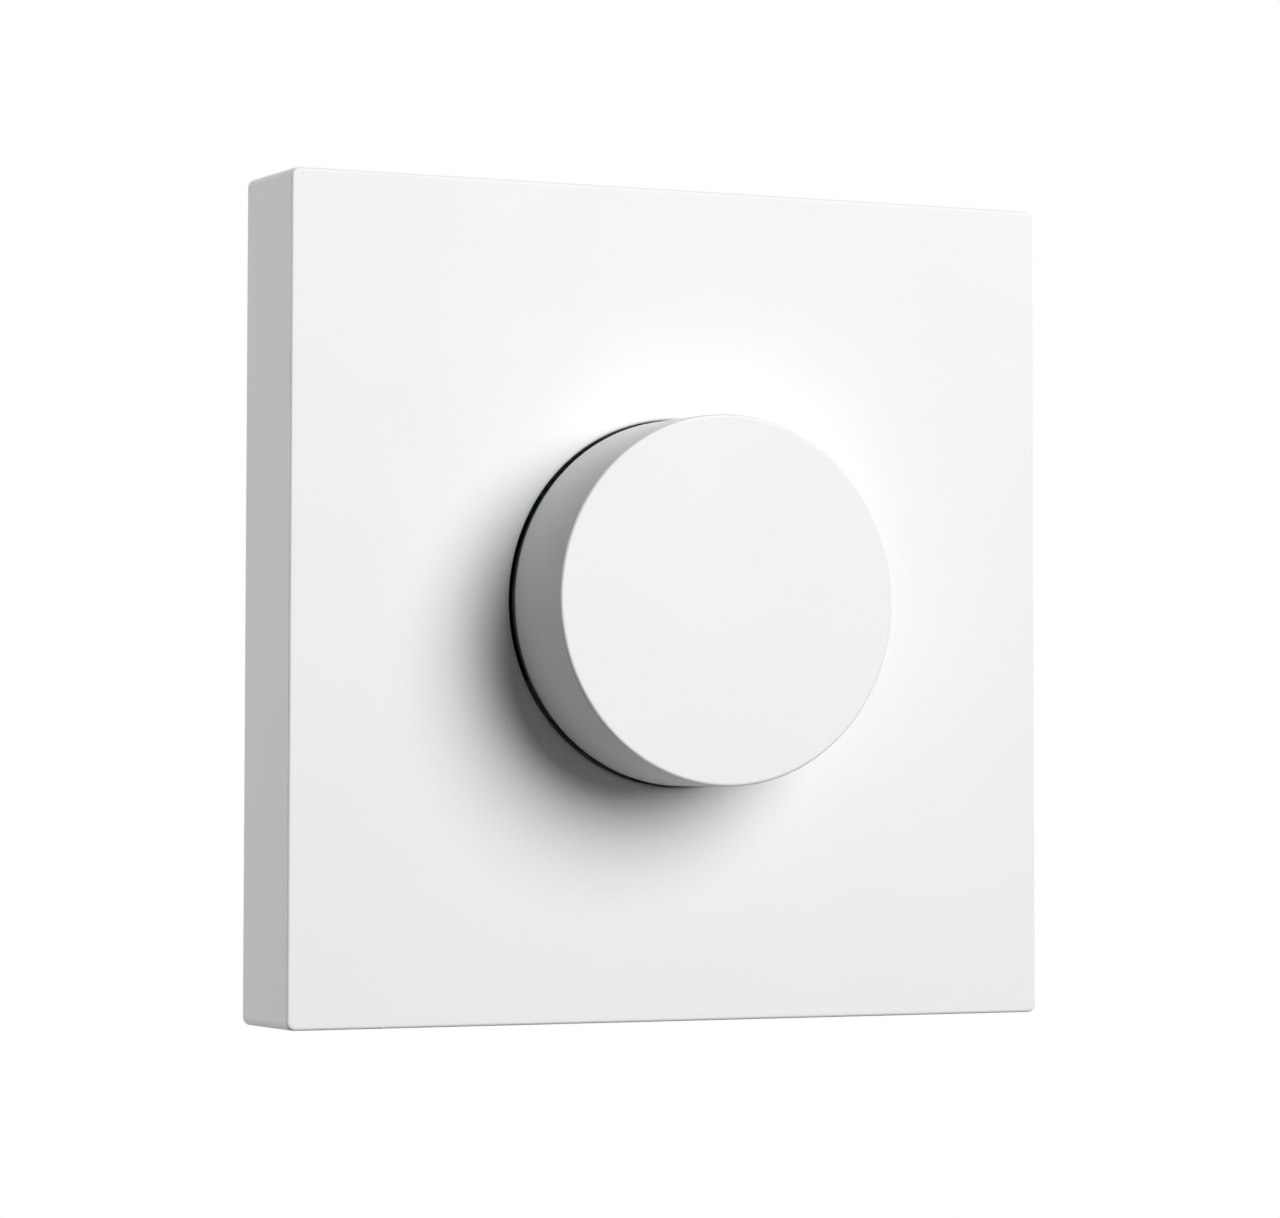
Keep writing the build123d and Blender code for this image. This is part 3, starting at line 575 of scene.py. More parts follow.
def board_tracks():
    """Masks for a routed board: fields of tracks along X or Z, and small plated holes."""
    name = "Board Tracks"
    if name in bpy.data.node_groups:
        return bpy.data.node_groups[name]
    inputs = {"Field Scale": 150.0, "Track Pitch": 0.0009, "Hole Radius": 0.00028}
    group, start, end = node_group(name, {"Vector": (0, 0, 0), **inputs}, ("Tracks", "Holes"))
    hole_scale = 230.0
    place, pitch = start.outputs["Vector"], start.outputs["Track Pitch"]
    flat = add_node(
        group, "ShaderNodeMapping", (-750, 0), vector=place, scale=(1, 0, 1)
    ).outputs["Vector"]
    axes = add_node(group, "ShaderNodeSeparateXYZ", (-600, -200), vector=place)
    field = add_node(group, "ShaderNodeTexVoronoi", (-600, 200), distance="CHEBYCHEV", vector=flat)
    group.links.new(start.outputs["Field Scale"], field.inputs["Scale"])
    chance = add_node(group, "ShaderNodeSeparateColor", (-450, 200), color=field.outputs["Color"])
    lines = []
    for label, channel, least, height in (("X", "Red", 0.62, -100), ("Z", "Green", 0.55, -300)):
        count = calculate(group, "DIVIDE", (-450, height), axes.outputs[label], pitch)
        phase = calculate(group, "PINGPONG", (-300, height), count, 0.5)
        line = add_node(
            group, "ShaderNodeMapRange", (-150, height), value=phase, from_min=0.27, from_max=0.33
        )
        line.interpolation_type = "SMOOTHSTEP"
        shown = chance.outputs[channel]
        picked = calculate(group, "GREATER_THAN", (-150, height + 350), shown, least)
        masked = calculate(group, "MULTIPLY", (0, height), line.outputs["Result"], picked)
        lines.append(masked)
    points = add_node(
        group, "ShaderNodeTexVoronoi", (-450, -550), vector=flat, scale=hole_scale
    ).outputs["Distance"]
    radius = calculate(group, "MULTIPLY", (-300, -700), start.outputs["Hole Radius"], hole_scale)
    tracks = calculate(group, "MAXIMUM", (200, 0), *lines)
    holes = calculate(group, "LESS_THAN", (-100, -550), points, radius)
    group.links.new(tracks, end.inputs["Tracks"])
    group.links.new(holes, end.inputs["Holes"])
    return group


def board_laminate():
    """Solder mask over copper tracks, with small tinned holes and a faint weave of glass."""
    name = "board_laminate"
    if name in bpy.data.materials:
        return bpy.data.materials[name]
    material, tree, surface, place = shader(name)
    colour = bpy.context.scene.knob_switch_colours.board
    routed = add_node(tree, "ShaderNodeGroup", (-750, 100), node_tree=board_tracks(), vector=place)
    tracks, holes = routed.outputs["Tracks"], routed.outputs["Holes"]
    glass = noise(tree, (-750, -300), place, 2600.0, 2.0)
    over_copper = (colour[0] * 2.4, colour[1] * 1.6, colour[2] * 1.6, 1)
    mask = blend(tree, (-450, 200), tracks, colour, over_copper)
    tinned = blend(tree, (-250, 200), holes, mask, (0.7, 0.68, 0.62, 1))
    gloss = calculate(tree, "MULTIPLY_ADD", (-250, -50), glass, 0.15, 0.25)
    height = calculate(tree, "MULTIPLY_ADD", (-450, -200), glass, 0.2, tracks)
    tree.links.new(tinned, surface.inputs["Base Color"])
    tree.links.new(holes, surface.inputs["Metallic"])
    tree.links.new(gloss, surface.inputs["Roughness"])
    add_relief(tree, surface, height, 0.00003)
    return material


# Pieces


class Step:
    """Lets each operator be undone and run again"""

    bl_options = {"REGISTER", "UNDO"}


class KNOB_SWITCH_OT_front_panel(Step, bpy.types.Operator):
    """Model the front panel: the shell with the knob's opening, and its bosses and ribs"""

    bl_idname = "knob_switch.front_panel"
    bl_label = "Front Panel"

    side_wall, inside, knob_play = 1.8 * MM, 10.2 * MM, 0.1 * MM
    collar_wall, collar_end = 1.5 * MM, 9.2 * MM
    notch_half, notch_height, notch_reach = 4.5 * MM, 1.4 * MM, 3.0 * MM
    boss_offset, boss_radius, boss_end = 35.0 * MM, 2.75 * MM, 5.0 * MM
    bore_radius, bore_length = 1.05 * MM, 4.0 * MM
    seat_offset, seat_half, seat_width, seat_end = 20.0 * MM, 0.6 * MM, 3.2 * MM, 6.0 * MM
    rib_start, rib_stop, rib_half = 1.8 * MM, 2.6 * MM, 0.4 * MM
    # How far a rib, seat or boss reaches into its wall, and the play in picking edges and faces
    root, margin = 0.1 * MM, 0.1 * MM

    def execute(self, context):
        sizes = context.scene.knob_switch_sizes
        bm = bmesh.new()
        self.shell(bm, sizes)
        self.pry_notch(bm)
        self.inner_ribs(bm, sizes)
        show(bm, "front_panel_shell", "panel_white", "front_panel", moulded("panel_plastic"))
        return {"FINISHED"}

    def shell(self, bm, sizes):
        """Side walls, front wall and the collar round the opening, as one closed skin."""
        width, front, rear = 2 * panel_high.x, -panel_low.y, -panel_high.y
        inner = width - 2 * self.side_wall
        opening = cap_high.x + self.knob_play
        rim_outer = rectangle(bm, width, width, sizes.panel_corner, rear, segments=8)
        rim_inner = rectangle(bm, inner, inner, 0, rear)
        face_edge = pull(bm, rim_outer, front - rear)
        floor_edge = pull(bm, rim_inner, self.inside - rear)
        hole_front = circle(bm, opening, front, sizes.turn_steps)
        collar_inner = pull(bm, hole_front, self.collar_end - front)
        collar_outer = pull(bm, collar_inner, scale=(opening + self.collar_wall) / opening)
        hole_inside = pull(bm, collar_outer, self.inside - self.collar_end)
        fill(bm, rim_outer, rim_inner)
        fill(bm, floor_edge, hole_inside)
        # The strip along the front's edges is wider than their rounding
        fill(bm, face_edge, hole_front, rim=2.2 * sizes.panel_edge)
        tidy(bm)
        at_front = [
            edge
            for edge in sharp_edges(bm)
            if all(abs(vert.co.y + front) < NEAR for vert in edge.verts)
        ]
        reach = opening + self.margin
        hole = [edge for edge in at_front if edge.verts[0].co.xz.length < reach]
        ease(bm, [edge for edge in at_front if edge not in hole], sizes.panel_edge, 5)
        ease(bm, [edge for edge in hole if edge.is_valid], sizes.opening_edge, 4)

    def pry_notch(self, bm):
        """The notch in the rear edge of the bottom wall, for prising the panel off."""
        top = panel_high.y - self.notch_height
        limit = panel_low.z + self.side_wall + self.margin

        def in_wall(face):
            return max(vert.co.z for vert in face.verts) < limit

        for place, facing in (
            ((self.notch_half, 0, 0), (1, 0, 0)),
            ((-self.notch_half, 0, 0), (1, 0, 0)),
            ((0, top, 0), (0, 1, 0)),
        ):
            wall = [
                face
                for face in bm.faces
                if in_wall(face) and max(vert.co.y for vert in face.verts) > -self.notch_reach
            ]
            geom = {item for face in wall for item in (face, *face.edges, *face.verts)}
            bmesh.ops.bisect_plane(bm, geom=list(geom), dist=1e-7, plane_co=place, plane_no=facing)
        cut = []
        for face in filter(in_wall, bm.faces):
            middle = face.calc_center_median()
            if abs(middle.x) < self.notch_half and middle.y > top + NEAR:
                cut.append(face)
        bmesh.ops.delete(bm, geom=cut, context="FACES")
        # The sides of the notch are bridged between its chains along the two wall faces
        chains = [
            edge
            for edge in bm.edges
            if edge.is_boundary
            and abs(edge.verts[0].co.z - edge.verts[1].co.z) <= self.side_wall / 2
        ]
        bmesh.ops.bridge_loops(bm, edges=chains)
        tidy(bm)

    def inner_ribs(self, bm, sizes):
        """Screw bosses, the seats that stop the rear cover, and the ribs out to the bosses."""
        wall = self.inside + self.root
        bore_end = self.boss_end + self.bore_length
        corners = [
            (self.bore_radius, self.boss_end, 0),
            (self.boss_radius, self.boss_end, 0.15 * MM),
            (self.boss_radius, wall, 0),
            (0, wall, 0),
            (0, bore_end, 0),
            (self.bore_radius, bore_end, 0),
        ]
        boss = turned(corners, 48, closed=True)
        offset = self.boss_offset
        for x, z in ((-offset, -offset), (-offset, offset), (offset, -offset), (offset, offset)):
            add_copy(bm, boss, Matrix.Translation((x, 0, z)))
        boss.free()
        side = panel_high.x - self.side_wall + self.root
        seat = panel_high.x - self.seat_width
        start = cap_high.x + self.rib_start
        stop = offset * math.sqrt(2) - self.rib_stop
        edges = []
        for quarter in range(4):
            turn = math.radians(90 * quarter)
            for place in (-self.seat_offset, self.seat_offset):
                low = (seat, self.seat_end, place - self.seat_half)
                high = (side, wall, place + self.seat_half)
                edges += block(bm, low, high, turn)
            low = (start, self.collar_end, -self.rib_half)
            high = (stop, wall, self.rib_half)
            edges += block(bm, low, high, turn + math.radians(45))
        ease(bm, edges, sizes.eased_edge)


class KNOB_SWITCH_OT_knob_cap(Step, bpy.types.Operator):
    """Model the knob's cap: a cup with a crisp face, a plain side and three inner keys"""

    bl_idname = "knob_switch.knob_cap"
    bl_label = "Knob Cap"

    side_wall, front_wall = 1.6 * MM, 1.8 * MM
    key_height, key_half, key_root = 0.7 * MM, 1.0 * MM, 0.1 * MM
    key_angles = (-90, 30, 150)

    def execute(self, context):
        sizes = context.scene.knob_switch_sizes
        radius, front, back = cap_high.x, -cap_low.y, -cap_high.y
        inner, inside = radius - self.side_wall, front - self.front_wall
        corners = [
            (0, front, 0),
            (radius, front, sizes.knob_edge),
            (radius, back, sizes.knob_skirt),
            (inner, back, sizes.knob_skirt / 2),
            (inner, inside, 0),
            (0, inside, 0),
        ]
        bm = turned(corners, sizes.turn_steps)
        keys = []
        low = (inner - self.key_height, back, -self.key_half)
        high = (inner + self.key_root, inside + self.key_root, self.key_half)
        for angle in self.key_angles:
            keys += block(bm, low, high, math.radians(angle))
        ease(bm, keys, sizes.eased_edge)
        show(bm, "knob_cap_shell", "knob_white", "knob_cap", moulded("knob_plastic"))
        return {"FINISHED"}


class KNOB_SWITCH_OT_knob_carrier(Step, bpy.types.Operator):
    """Finish the ribbed carrier inside the knob"""

    bl_idname = "knob_switch.knob_carrier"
    bl_label = "Knob Carrier"

    def execute(self, context):
        width = context.scene.knob_switch_sizes.eased_edge
        eased_copy("knob_carrier", moulded("carrier_plastic"), width)
        return {"FINISHED"}


class KNOB_SWITCH_OT_wall_bracket(Step, bpy.types.Operator):
    """Model the wall bracket: a flat frame with a window, two screw slots and four hooks"""

    bl_idname = "knob_switch.wall_bracket"
    bl_label = "Wall Bracket"

    thickness, corner, rim = 1.5 * MM, 2.0 * MM, 0.4 * MM
    # Width, height and corner radius of the window and of a screw slot
    window, slot = (40.0 * MM, 52.0 * MM, 4.0 * MM), (8.5 * MM, 4.5 * MM, 2.25 * MM)
    slot_offset, hook_offset, hook_length = 30.0 * MM, 12.0 * MM, 6.0 * MM
    # Section of a hook in millimetres: distance from the middle, and depth
    hook_section = (
        (37.6, 1.0), (37.6, 4.4), (38.8, 4.4), (39.4, 3.425), (39.4, 3.1), (38.8, 3.1), (38.8, 1.0)
    )

    def execute(self, context):
        sizes = context.scene.knob_switch_sizes
        width = 2 * bracket_high.x
        bm = bmesh.new()
        loops = [
            rectangle(bm, width, width, self.corner, 0, segments=8),
            rectangle(bm, *self.window, 0, segments=10),
        ]
        for side in (-self.slot_offset, self.slot_offset):
            loops.append(rectangle(bm, *self.slot, 0, (side, 0), segments=14))
        slab(bm, loops, self.thickness, self.rim)
        tidy(bm)
        ease(bm, sharp_edges(bm), 2 * sizes.eased_edge, 3)
        for side in (-1, 1):
            for place in (-self.hook_offset, self.hook_offset):
                self.hook(bm, place, side, sizes.eased_edge)
        plastic = moulded("bracket_plastic")
        show(bm, "wall_bracket_plate", "bracket_white", "wall_bracket", plastic)
        return {"FINISHED"}

    def hook(self, bm, place, side, width):
        """One snap hook: a short wall with a sloped barb, drawn as a section and pulled along X."""
        start = place - self.hook_length / 2
        points = [
            (start, -depth * MM, side * height * MM) for height, depth in self.hook_section
        ]
        loop = rounded_chain(bm, points)
        face = bmesh.ops.contextual_create(bm, geom=loop)["faces"]
        made = bmesh.ops.extrude_face_region(bm, geom=face)["geom"]
        verts = pick(made, bmesh.types.BMVert)
        bmesh.ops.translate(bm, verts=verts, vec=(self.hook_length, 0, 0))
        faces = {item for vert in verts for item in vert.link_faces} | set(face)
        bmesh.ops.recalc_face_normals(bm, faces=list(faces))
        edges = {edge for item in faces for edge in item.edges}
        ease(bm, list(edges), width)


class KNOB_SWITCH_OT_rear_cover(Step, bpy.types.Operator):
    """Finish the rear cover and the battery cover"""

    bl_idname = "knob_switch.rear_cover"
    bl_label = "Rear Covers"

    def execute(self, context):
        width = context.scene.knob_switch_sizes.eased_edge
        for node in ("rear_cover", "battery_cover"):
            eased_copy(node, moulded("cover_plastic"), width)
        return {"FINISHED"}


class KNOB_SWITCH_OT_coin_cells(Step, bpy.types.Operator):
    """Model the two coin cells: a rolled can, a dark gasket and a raised cap"""

    bl_idname = "knob_switch.coin_cells"
    bl_label = "Coin Cells"

    can_radius, crimp_radius, cap_radius, cap_rise = 12.25 * MM, 11.55 * MM, 10.5 * MM, 0.5 * MM
    gasket_outer, gasket_inner, gasket_drop = 11.4 * MM, 10.75 * MM, 0.3 * MM
    # A face is gasket between these distances from the middle, and this far from back and front
    ring_inner, ring_outer, ring_back, ring_front = 10.45 * MM, 11.42 * MM, 3.0 * MM, 0.4 * MM

    def execute(self, context):
        steel, gasket = sheet_metal("cell_plating"), moulded("cell_gasket")
        back, front = -cell_high.y, -cell_low.y
        rim = front - self.cap_rise
        height = (cell_low.z + cell_high.z) / 2
        spacing = abs(cell_low.x + cell_high.x) / 2
        corners = [
            (0, back, 0),
            (self.can_radius, back, 0.4 * MM),
            (self.can_radius, rim, 0.35 * MM),
            (self.crimp_radius, rim, 0.12 * MM),
            (self.gasket_outer, rim - self.gasket_drop, 0),
            (self.gasket_inner, rim - self.gasket_drop, 0),
            (self.cap_radius, rim, 0),
            (self.cap_radius, front, 0.25 * MM),
            (0, front, 0),
        ]
        for name, side in (("coin_cell_left", -1), ("coin_cell_right", 1)):
            bm = turned(corners, 96)
            for face in bm.faces:
                place = face.calc_center_median()
                in_ring = self.ring_inner < place.xz.length < self.ring_outer
                sunk = back + self.ring_back < -place.y < front - self.ring_front
                face.material_index = int(in_ring and sunk)
            bmesh.ops.translate(bm, verts=bm.verts[:], vec=(side * spacing, 0, height))
            show(bm, name + "_can", "cell_steel", name, steel, gasket)
        return {"FINISHED"}


class KNOB_SWITCH_OT_screws(Step, bpy.types.Operator):
    """Model the housing and board screws with their cross recesses and threads"""

    bl_idname = "knob_switch.screws"
    bl_label = "Screws"

    # Node, then head radius and height, shank radius and length in millimetres, and
    # whether the head faces the wall
    kinds = (
        ("housing_screws", 2.0, 1.4, 1.0, 5.0, True),
        ("board_screws", 1.7, 1.2, 0.85, 3.8, False),
    )

    def execute(self, context):
        steel = sheet_metal("screw_plating")
        for node, head, height, shank, length, head_back in self.kinds:
            low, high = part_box(node)
            one = self.screw(head * MM, height * MM, shank * MM, length * MM)
            top = -high.y if head_back else -low.y
            flip = Matrix() if head_back else Matrix.Rotation(math.pi, 4, "X")
            bm = bmesh.new()
            for x in (low.x + head * MM, high.x - head * MM):
                for z in (low.z + head * MM, high.z - head * MM):
                    add_copy(bm, one, Matrix.Translation((x, -top, z)) @ flip)
            one.free()
            show(bm, node + "_threaded", "screw_steel", node, steel)
        return {"FINISHED"}

    def screw(self, head, height, shank, length):
        """One screw along Y: the top of its head at Y = 0 and its tip towards -Y."""
        # Corners in shares of the head's and the shank's sizes
        core, tip = 0.74 * shank, 0.6 * shank
        corners = [
            (0.62 * head, 0, 0.3 * height),
            (head, 0.45 * height, 0.15 * height),
            (head, height, 0),
            (core, height, 0),
            (core, height + length - tip, 0),
            (0, height + length, 0),
        ]
        bm = turned(corners, 48, hold=0.0)
        rim = [edge for edge in bm.edges if edge.is_boundary]
        arm, half = 0.55 * head, 0.137 * head
        points = []
        for quarter in range(4):
            turn = Matrix.Rotation(math.radians(-90 * quarter), 3, "Y")
            for corner in ((half, 0, half), (half, 0, arm), (-half, 0, arm)):
                points.append(turn @ Vector(corner))
        cross = rounded_chain(bm, points)
        fill(bm, rim, cross)
        bottom = pull(bm, cross, 0.5 * height, 0.55)
        bmesh.ops.edgeloop_fill(bm, edges=bottom)
        self.thread(bm, shank, height + 0.15 * length, 0.8 * length - tip)
        tidy(bm)
        return bm

    def thread(self, bm, radius, start, length):
        """A sharp ridge wound round the shank."""
        pitch, steps = 0.62 * radius, 20
        turns = int(length / pitch)
        root, half = 0.70 * radius, 0.22 * pitch
        points = [(root, -start, 0), (radius, -start - half, 0), (root, -start - 2 * half, 0)]
        section = rounded_chain(bm, points)
        verts = list({vert for edge in section for vert in edge.verts})
        cap = bmesh.ops.contextual_create(bm, geom=section)["faces"]
        bmesh.ops.spin(
            bm, geom=verts + section + cap, cent=(0, 0, 0), axis=(0, 1, 0),
            dvec=(0, -pitch / steps, 0), angle=turns * math.tau, steps=turns * steps,
        )


class KNOB_SWITCH_OT_contacts(Step, bpy.types.Operator):
    """Finish the cells' spring contacts"""

    bl_idname = "knob_switch.contacts"
    bl_label = "Cell Contacts"

    def execute(self, context):
        dress("contact_plating", "positive_contacts", "negative_contacts")
        return {"FINISHED"}


class KNOB_SWITCH_OT_circuit_board(Step, bpy.types.Operator):
    """Finish the circuit boards and model the chip and the capacitors"""

    bl_idname = "knob_switch.circuit_board"
    bl_label = "Circuit Board"

    edge = 0.05 * MM
    # The pitch is in millimetres
    pad_pitch, pad_half, pad_height = 0.62, 0.14 * MM, 0.2 * MM
    pad_inward, pad_outward = 0.3 * MM, 0.03 * MM
    capacitor_width, ceramic_start = 1.25 * MM, 0.3 * MM
    metal_end, metal_wrap = 0.42 * MM, 0.03 * MM

    def execute(self, context):
        board = board_laminate()
        eased_copy("main_circuit_board", board, 0.04 * MM)
        eased_copy("radio_module", board, 0.03 * MM)
        eased_copy("radio_shield", sheet_metal("shield_plating"), 0.03 * MM)
        self.chip()
        self.capacitors()
        return {"FINISHED"}

    def chip(self):
        """A flat chip with a moulded body and seven pads along each side."""
        low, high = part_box("control_chip")
        back, front = -high.y, -low.y
        centre = (low + high) / 2
        half = (high.x - low.x) / 2
        bm = bmesh.new()
        ease(bm, block(bm, (low.x, back, low.z), (high.x, front, high.z)), self.edge)
        pads = bmesh.new()
        for quarter in range(4):
            for place in range(-3, 4):
                middle = place * self.pad_pitch * MM
                block(
                    pads,
                    (half - self.pad_inward, back, middle - self.pad_half),
                    (half + self.pad_outward, back + self.pad_height, middle + self.pad_half),
                    math.radians(90 * quarter),
                )
        for face in pads.faces:
            face.material_index = 1
        add_copy(bm, pads, Matrix.Translation((centre.x, 0, centre.z)))
        pads.free()
        epoxy, tin = moulded("chip_epoxy"), sheet_metal("solder_tin")
        show(bm, "control_chip_body", "chip_black", "control_chip", epoxy, tin)

    def capacitors(self):
        """Four ceramic blocks with wrapped metal ends."""
        low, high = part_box("capacitors")
        back, front = -high.y, -low.y
        bm = bmesh.new()
        width, wrap = self.capacitor_width, self.metal_wrap
        pitch = (high.x - low.x - width) / 3
        for count in range(4):
            left = low.x + count * pitch
            edges = block(
                bm,
                (left + wrap, back, low.z + self.ceramic_start),
                (left + width - wrap, front - wrap, high.z - self.ceramic_start),
            )
            end = self.metal_end
            for start, stop in ((low.z, low.z + end), (high.z - end, high.z)):
                cap = block(bm, (left, back, start), (left + width, front, stop))
                for face in {face for edge in cap for face in edge.link_faces}:
                    face.material_index = 1
                edges += cap
            ease(bm, edges, self.edge)
        ceramic, tin = moulded("capacitor_ceramic"), sheet_metal("solder_tin")
        show(bm, "capacitors_chipped", "capacitor_tan", "capacitors", ceramic, tin)


class KNOB_SWITCH_OT_encoder(Step, bpy.types.Operator):
    """Finish the push encoder's housing, frame, bushing and terminals"""

    bl_idname = "knob_switch.encoder"
    bl_label = "Encoder Body"

    def execute(self, context):
        eased_copy("encoder_housing", moulded("encoder_nylon"), 0.05 * MM)
        eased_copy("encoder_frame", sheet_metal("shield_plating"), 0.05 * MM)
        eased_copy("encoder_bushing", sheet_metal("cast_zinc"), 0.05 * MM)
        dress("contact_plating", "encoder_terminals")
        return {"FINISHED"}


class KNOB_SWITCH_OT_encoder_mechanism(Step, bpy.types.Operator):
    """Finish the encoder's rotor, shaft, springs, ring and plunger"""

    bl_idname = "knob_switch.encoder_mechanism"
    bl_label = "Encoder Mechanism"

    def execute(self, context):
        acetal = moulded("ivory_acetal")
        eased_copy("encoder_rotor", acetal, 0.04 * MM)
        eased_copy("encoder_shaft", sheet_metal("turned_shaft"), 0.05 * MM)
        eased_copy("switch_plunger", acetal, 0.04 * MM)
        dress("spring_steel", "detent_spring", "dome_spring", "shaft_retaining_ring")
        return {"FINISHED"}


class KNOB_SWITCH_OT_stage(Step, bpy.types.Operator):
    """Set up the floor, the background, the studio lights and the camera"""

    bl_idname = "knob_switch.stage"
    bl_label = "Stage"

    # Name, power setting, distance, azimuth and elevation in degrees, and diameter. Azimuth
    # 0 is straight in front and 90 is to the right.
    lamps = (
        ("key", "key_power", 2.4, 24, 23, 2.0),
        ("left_side", "side_power", 0.9, -122, 5, 0.30),
        ("right_side", "back_power", 0.9, 122, 5, 0.30),
        ("top_back", "back_power", 0.9, 180, 58, 0.30),
    )
    aim = Vector((0, -0.012, 0))
    floor_half, fade_start, fade_end, floor_white = 1.2, 0.3, 0.9, 0.9
    # The shift stands for the photograph's centre, which lies off the lens's axis
    sensor, lens, shift = 36.0, 131.61, (-0.0264, -0.0853)
    viewpoint = (-0.2154, -0.4452, -0.0166)
    yaw, pitch, roll = math.radians(26.411), math.radians(3.234), math.radians(0.070)

    def execute(self, context):
        stage = context.scene.knob_switch_stage
        self.background(context, stage)
        self.floor(stage)
        for name, setting, *spot in self.lamps:
            self.lamp(name, getattr(stage, setting), *spot)
        self.camera(context)
        return {"FINISHED"}

    def white_to_camera(self, tree, place):
        """A value of 1 for what the camera, gloss and glass see."""
        x, y = place
        ray = add_node(tree, "ShaderNodeLightPath", place).outputs
        seen = calculate(tree, "MAXIMUM", (x + 200, y), ray["Is Camera Ray"], ray["Is Glossy Ray"])
        return calculate(tree, "MAXIMUM", (x + 400, y), seen, ray["Is Transmission Ray"])

    def background(self, context, stage):
        """White to the camera and a dim even surround for the object."""
        world = bpy.data.worlds.new("studio")
        context.scene.world = world
        world.use_nodes = True
        tree = world.node_tree
        seen = self.white_to_camera(tree, (-700, 200))
        strength = add_node(
            tree, "ShaderNodeMapRange", (-250, 0), value=seen, to_min=stage.surround, to_max=1.0
        )
        shade = tree.nodes["Background"]
        shade.inputs["Color"].default_value = (1, 1, 1, 1)
        tree.links.new(strength.outputs["Result"], shade.inputs["Strength"])

    def floor(self, stage):
        """A plain pale floor that takes the switch's shadow and fades into the white background."""
        material, tree, surface, place = shader("floor_paper")
        tint = stage.floor_tint
        surface.inputs["Base Color"].default_value = (tint, tint, tint, 1)
        surface.inputs["Roughness"].default_value = 0.9
        surface.inputs["Specular IOR Level"].default_value = 0.0
        surface.inputs["Emission Color"].default_value = (1, 1, 1, 1)
        seen = self.white_to_camera(tree, (-900, -200))
        reach = add_node(tree, "ShaderNodeVectorMath", (-700, 0), operation="LENGTH")
        tree.links.new(place, reach.inputs[0])
        fade = add_node(
            tree, "ShaderNodeMapRange", (-500, 0), interpolation_type="SMOOTHSTEP",
            value=reach.outputs["Value"], from_min=self.fade_start, from_max=self.fade_end,
            to_min=self.floor_white, to_max=1.0,
        )
        glow = calculate(tree, "MULTIPLY", (-250, -200), seen, fade.outputs["Result"])
        tree.links.new(glow, surface.inputs["Emission Strength"])
        bm = bmesh.new()
        bmesh.ops.create_grid(bm, x_segments=1, y_segments=1, size=self.floor_half)
        bmesh.ops.translate(bm, verts=bm.verts[:], vec=(0, 0, -stage.floor_drop))
        add_object("floor", finished_mesh(bm, "floor", [material]))

    def lamp(self, name, power, distance, azimuth, elevation, size):
        """A round soft light, aimed at the switch."""
        turn, rise = math.radians(azimuth), math.radians(elevation)
        away = Vector(
            (math.sin(turn) * math.cos(rise), -math.cos(turn) * math.cos(rise), math.sin(rise))
        )
        light = bpy.data.lights.new(name, "AREA")
        light.shape = "DISK"
        light.size = size
        light.energy = power
        lamp = add_object(name, light)
        lamp.location = self.aim + away * distance
        lamp.rotation_euler = away.to_track_quat("Z", "Y").to_euler()
        lamp.visible_camera = False

    def camera(self, context):
        """The photograph's viewpoint: to the left of the switch and a little below its centre."""
        data = bpy.data.cameras.new("camera")
        data.sensor_width = self.sensor
        data.lens = self.lens
        data.shift_x, data.shift_y = self.shift
        data.clip_start, data.clip_end = 0.01, 20.0
        camera = add_object("camera", data)
        camera.location = self.viewpoint
        camera.rotation_mode = "QUATERNION"
        level = math.cos(self.pitch)
        ahead = Vector(
            (math.sin(self.yaw) * level, math.cos(self.yaw) * level, math.sin(self.pitch))
        )
        roll = Matrix.Rotation(self.roll, 3, "Z").to_quaternion()
        camera.rotation_quaternion = ahead.to_track_quat("-Z", "Y") @ roll
        context.scene.camera = camera
        context.scene.view_settings.view_transform = "Standard"


class VIEW3D_PT_knob_switch(bpy.types.Panel):
    """Lists the pieces and the settings"""

    bl_idname = "VIEW3D_PT_knob_switch"
    bl_label = "Wireless Knob Switch"
    bl_space_type = "VIEW_3D"
    bl_region_type = "UI"
    bl_category = "Knob Switch"

    def draw(self, context):
        column = self.layout.column(align=True)
        for operator in OPERATORS:
            column.operator(operator.bl_idname)
        for label in ("Sizes", "Colours", "Stage"):
            settings = getattr(context.scene, "knob_switch_" + label.lower())
            box = self.layout.box()
            box.label(text=label)
            for prop in settings.bl_rna.properties:
                if not prop.is_readonly:
                    box.prop(settings, prop.identifier)


OPERATORS = (
    KNOB_SWITCH_OT_front_panel,
    KNOB_SWITCH_OT_knob_cap,
    KNOB_SWITCH_OT_knob_carrier,
    KNOB_SWITCH_OT_wall_bracket,
    KNOB_SWITCH_OT_rear_cover,
    KNOB_SWITCH_OT_coin_cells,
    KNOB_SWITCH_OT_screws,
    KNOB_SWITCH_OT_contacts,
    KNOB_SWITCH_OT_circuit_board,
    KNOB_SWITCH_OT_encoder,
    KNOB_SWITCH_OT_encoder_mechanism,
    KNOB_SWITCH_OT_stage,
)

CLASSES = (KnobSwitchSizes, KnobSwitchColours, KnobSwitchStage, *OPERATORS, VIEW3D_PT_knob_switch)


def register():
    for item in CLASSES:
        bpy.utils.register_class(item)
    bpy.types.Scene.knob_switch_sizes = PointerProperty(type=KnobSwitchSizes)
    bpy.types.Scene.knob_switch_colours = PointerProperty(type=KnobSwitchColours)
    bpy.types.Scene.knob_switch_stage = PointerProperty(type=KnobSwitchStage)


def unregister():
    del bpy.types.Scene.knob_switch_stage
    del bpy.types.Scene.knob_switch_colours
    del bpy.types.Scene.knob_switch_sizes
    for item in reversed(CLASSES):
        bpy.utils.unregister_class(item)


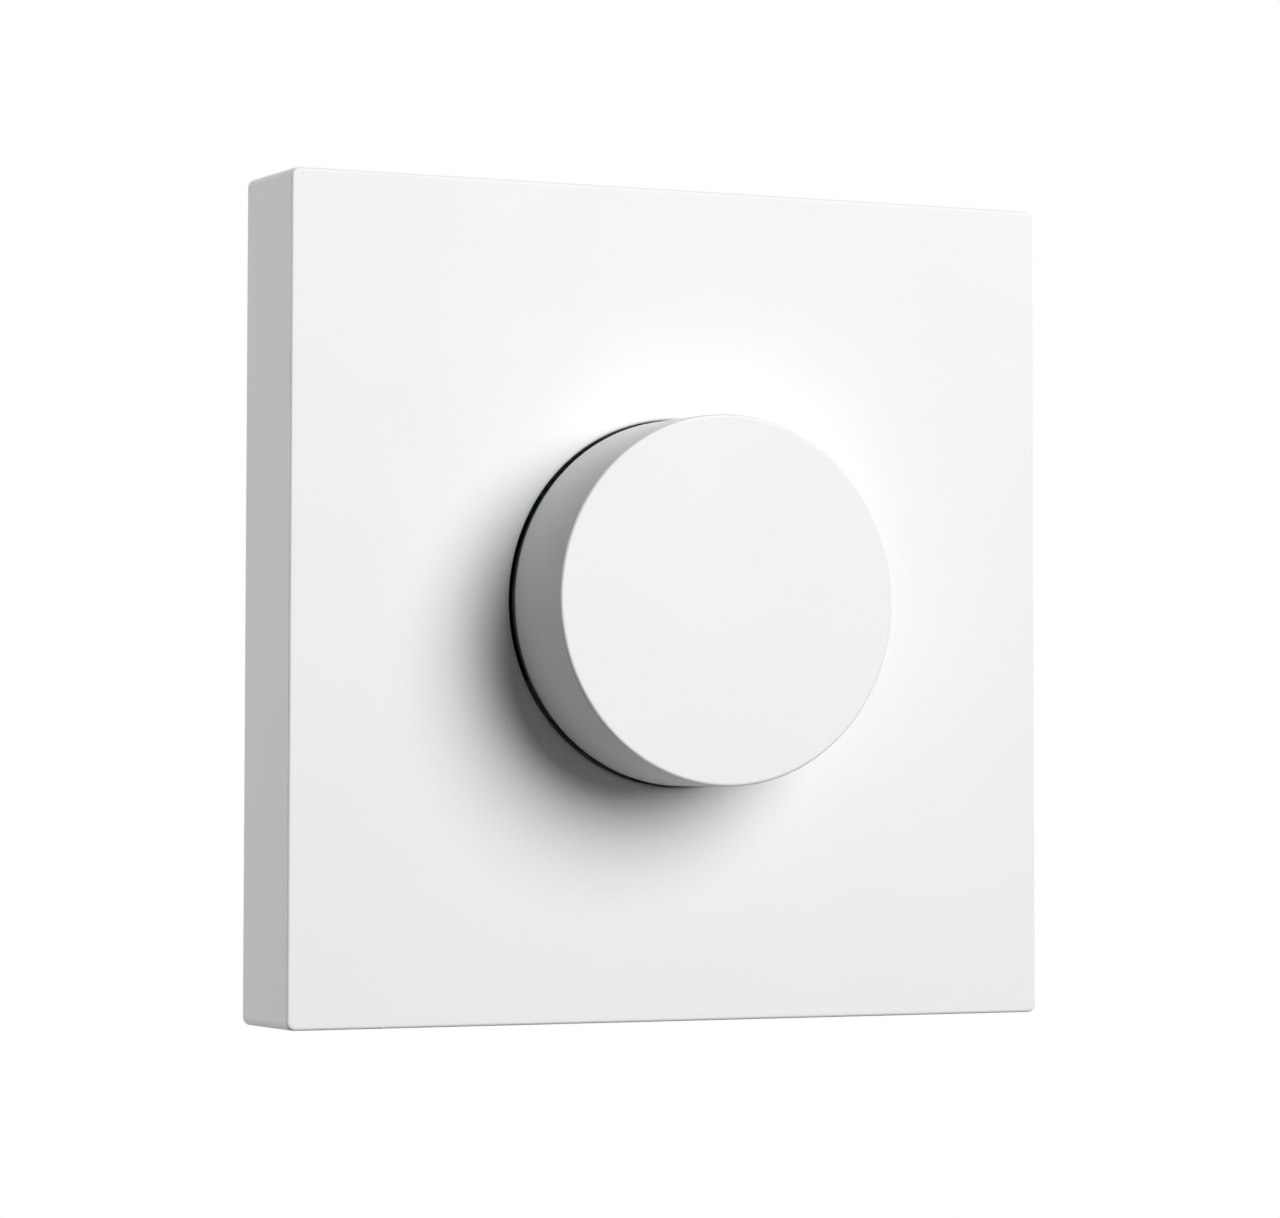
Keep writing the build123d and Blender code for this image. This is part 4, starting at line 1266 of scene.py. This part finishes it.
def main():
    """Registers the add-on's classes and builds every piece."""
    register()
    for operator in OPERATORS:
        group, name = operator.bl_idname.split(".")
        getattr(getattr(bpy.ops, group), name)()


if __name__ == "__main__":
    main()
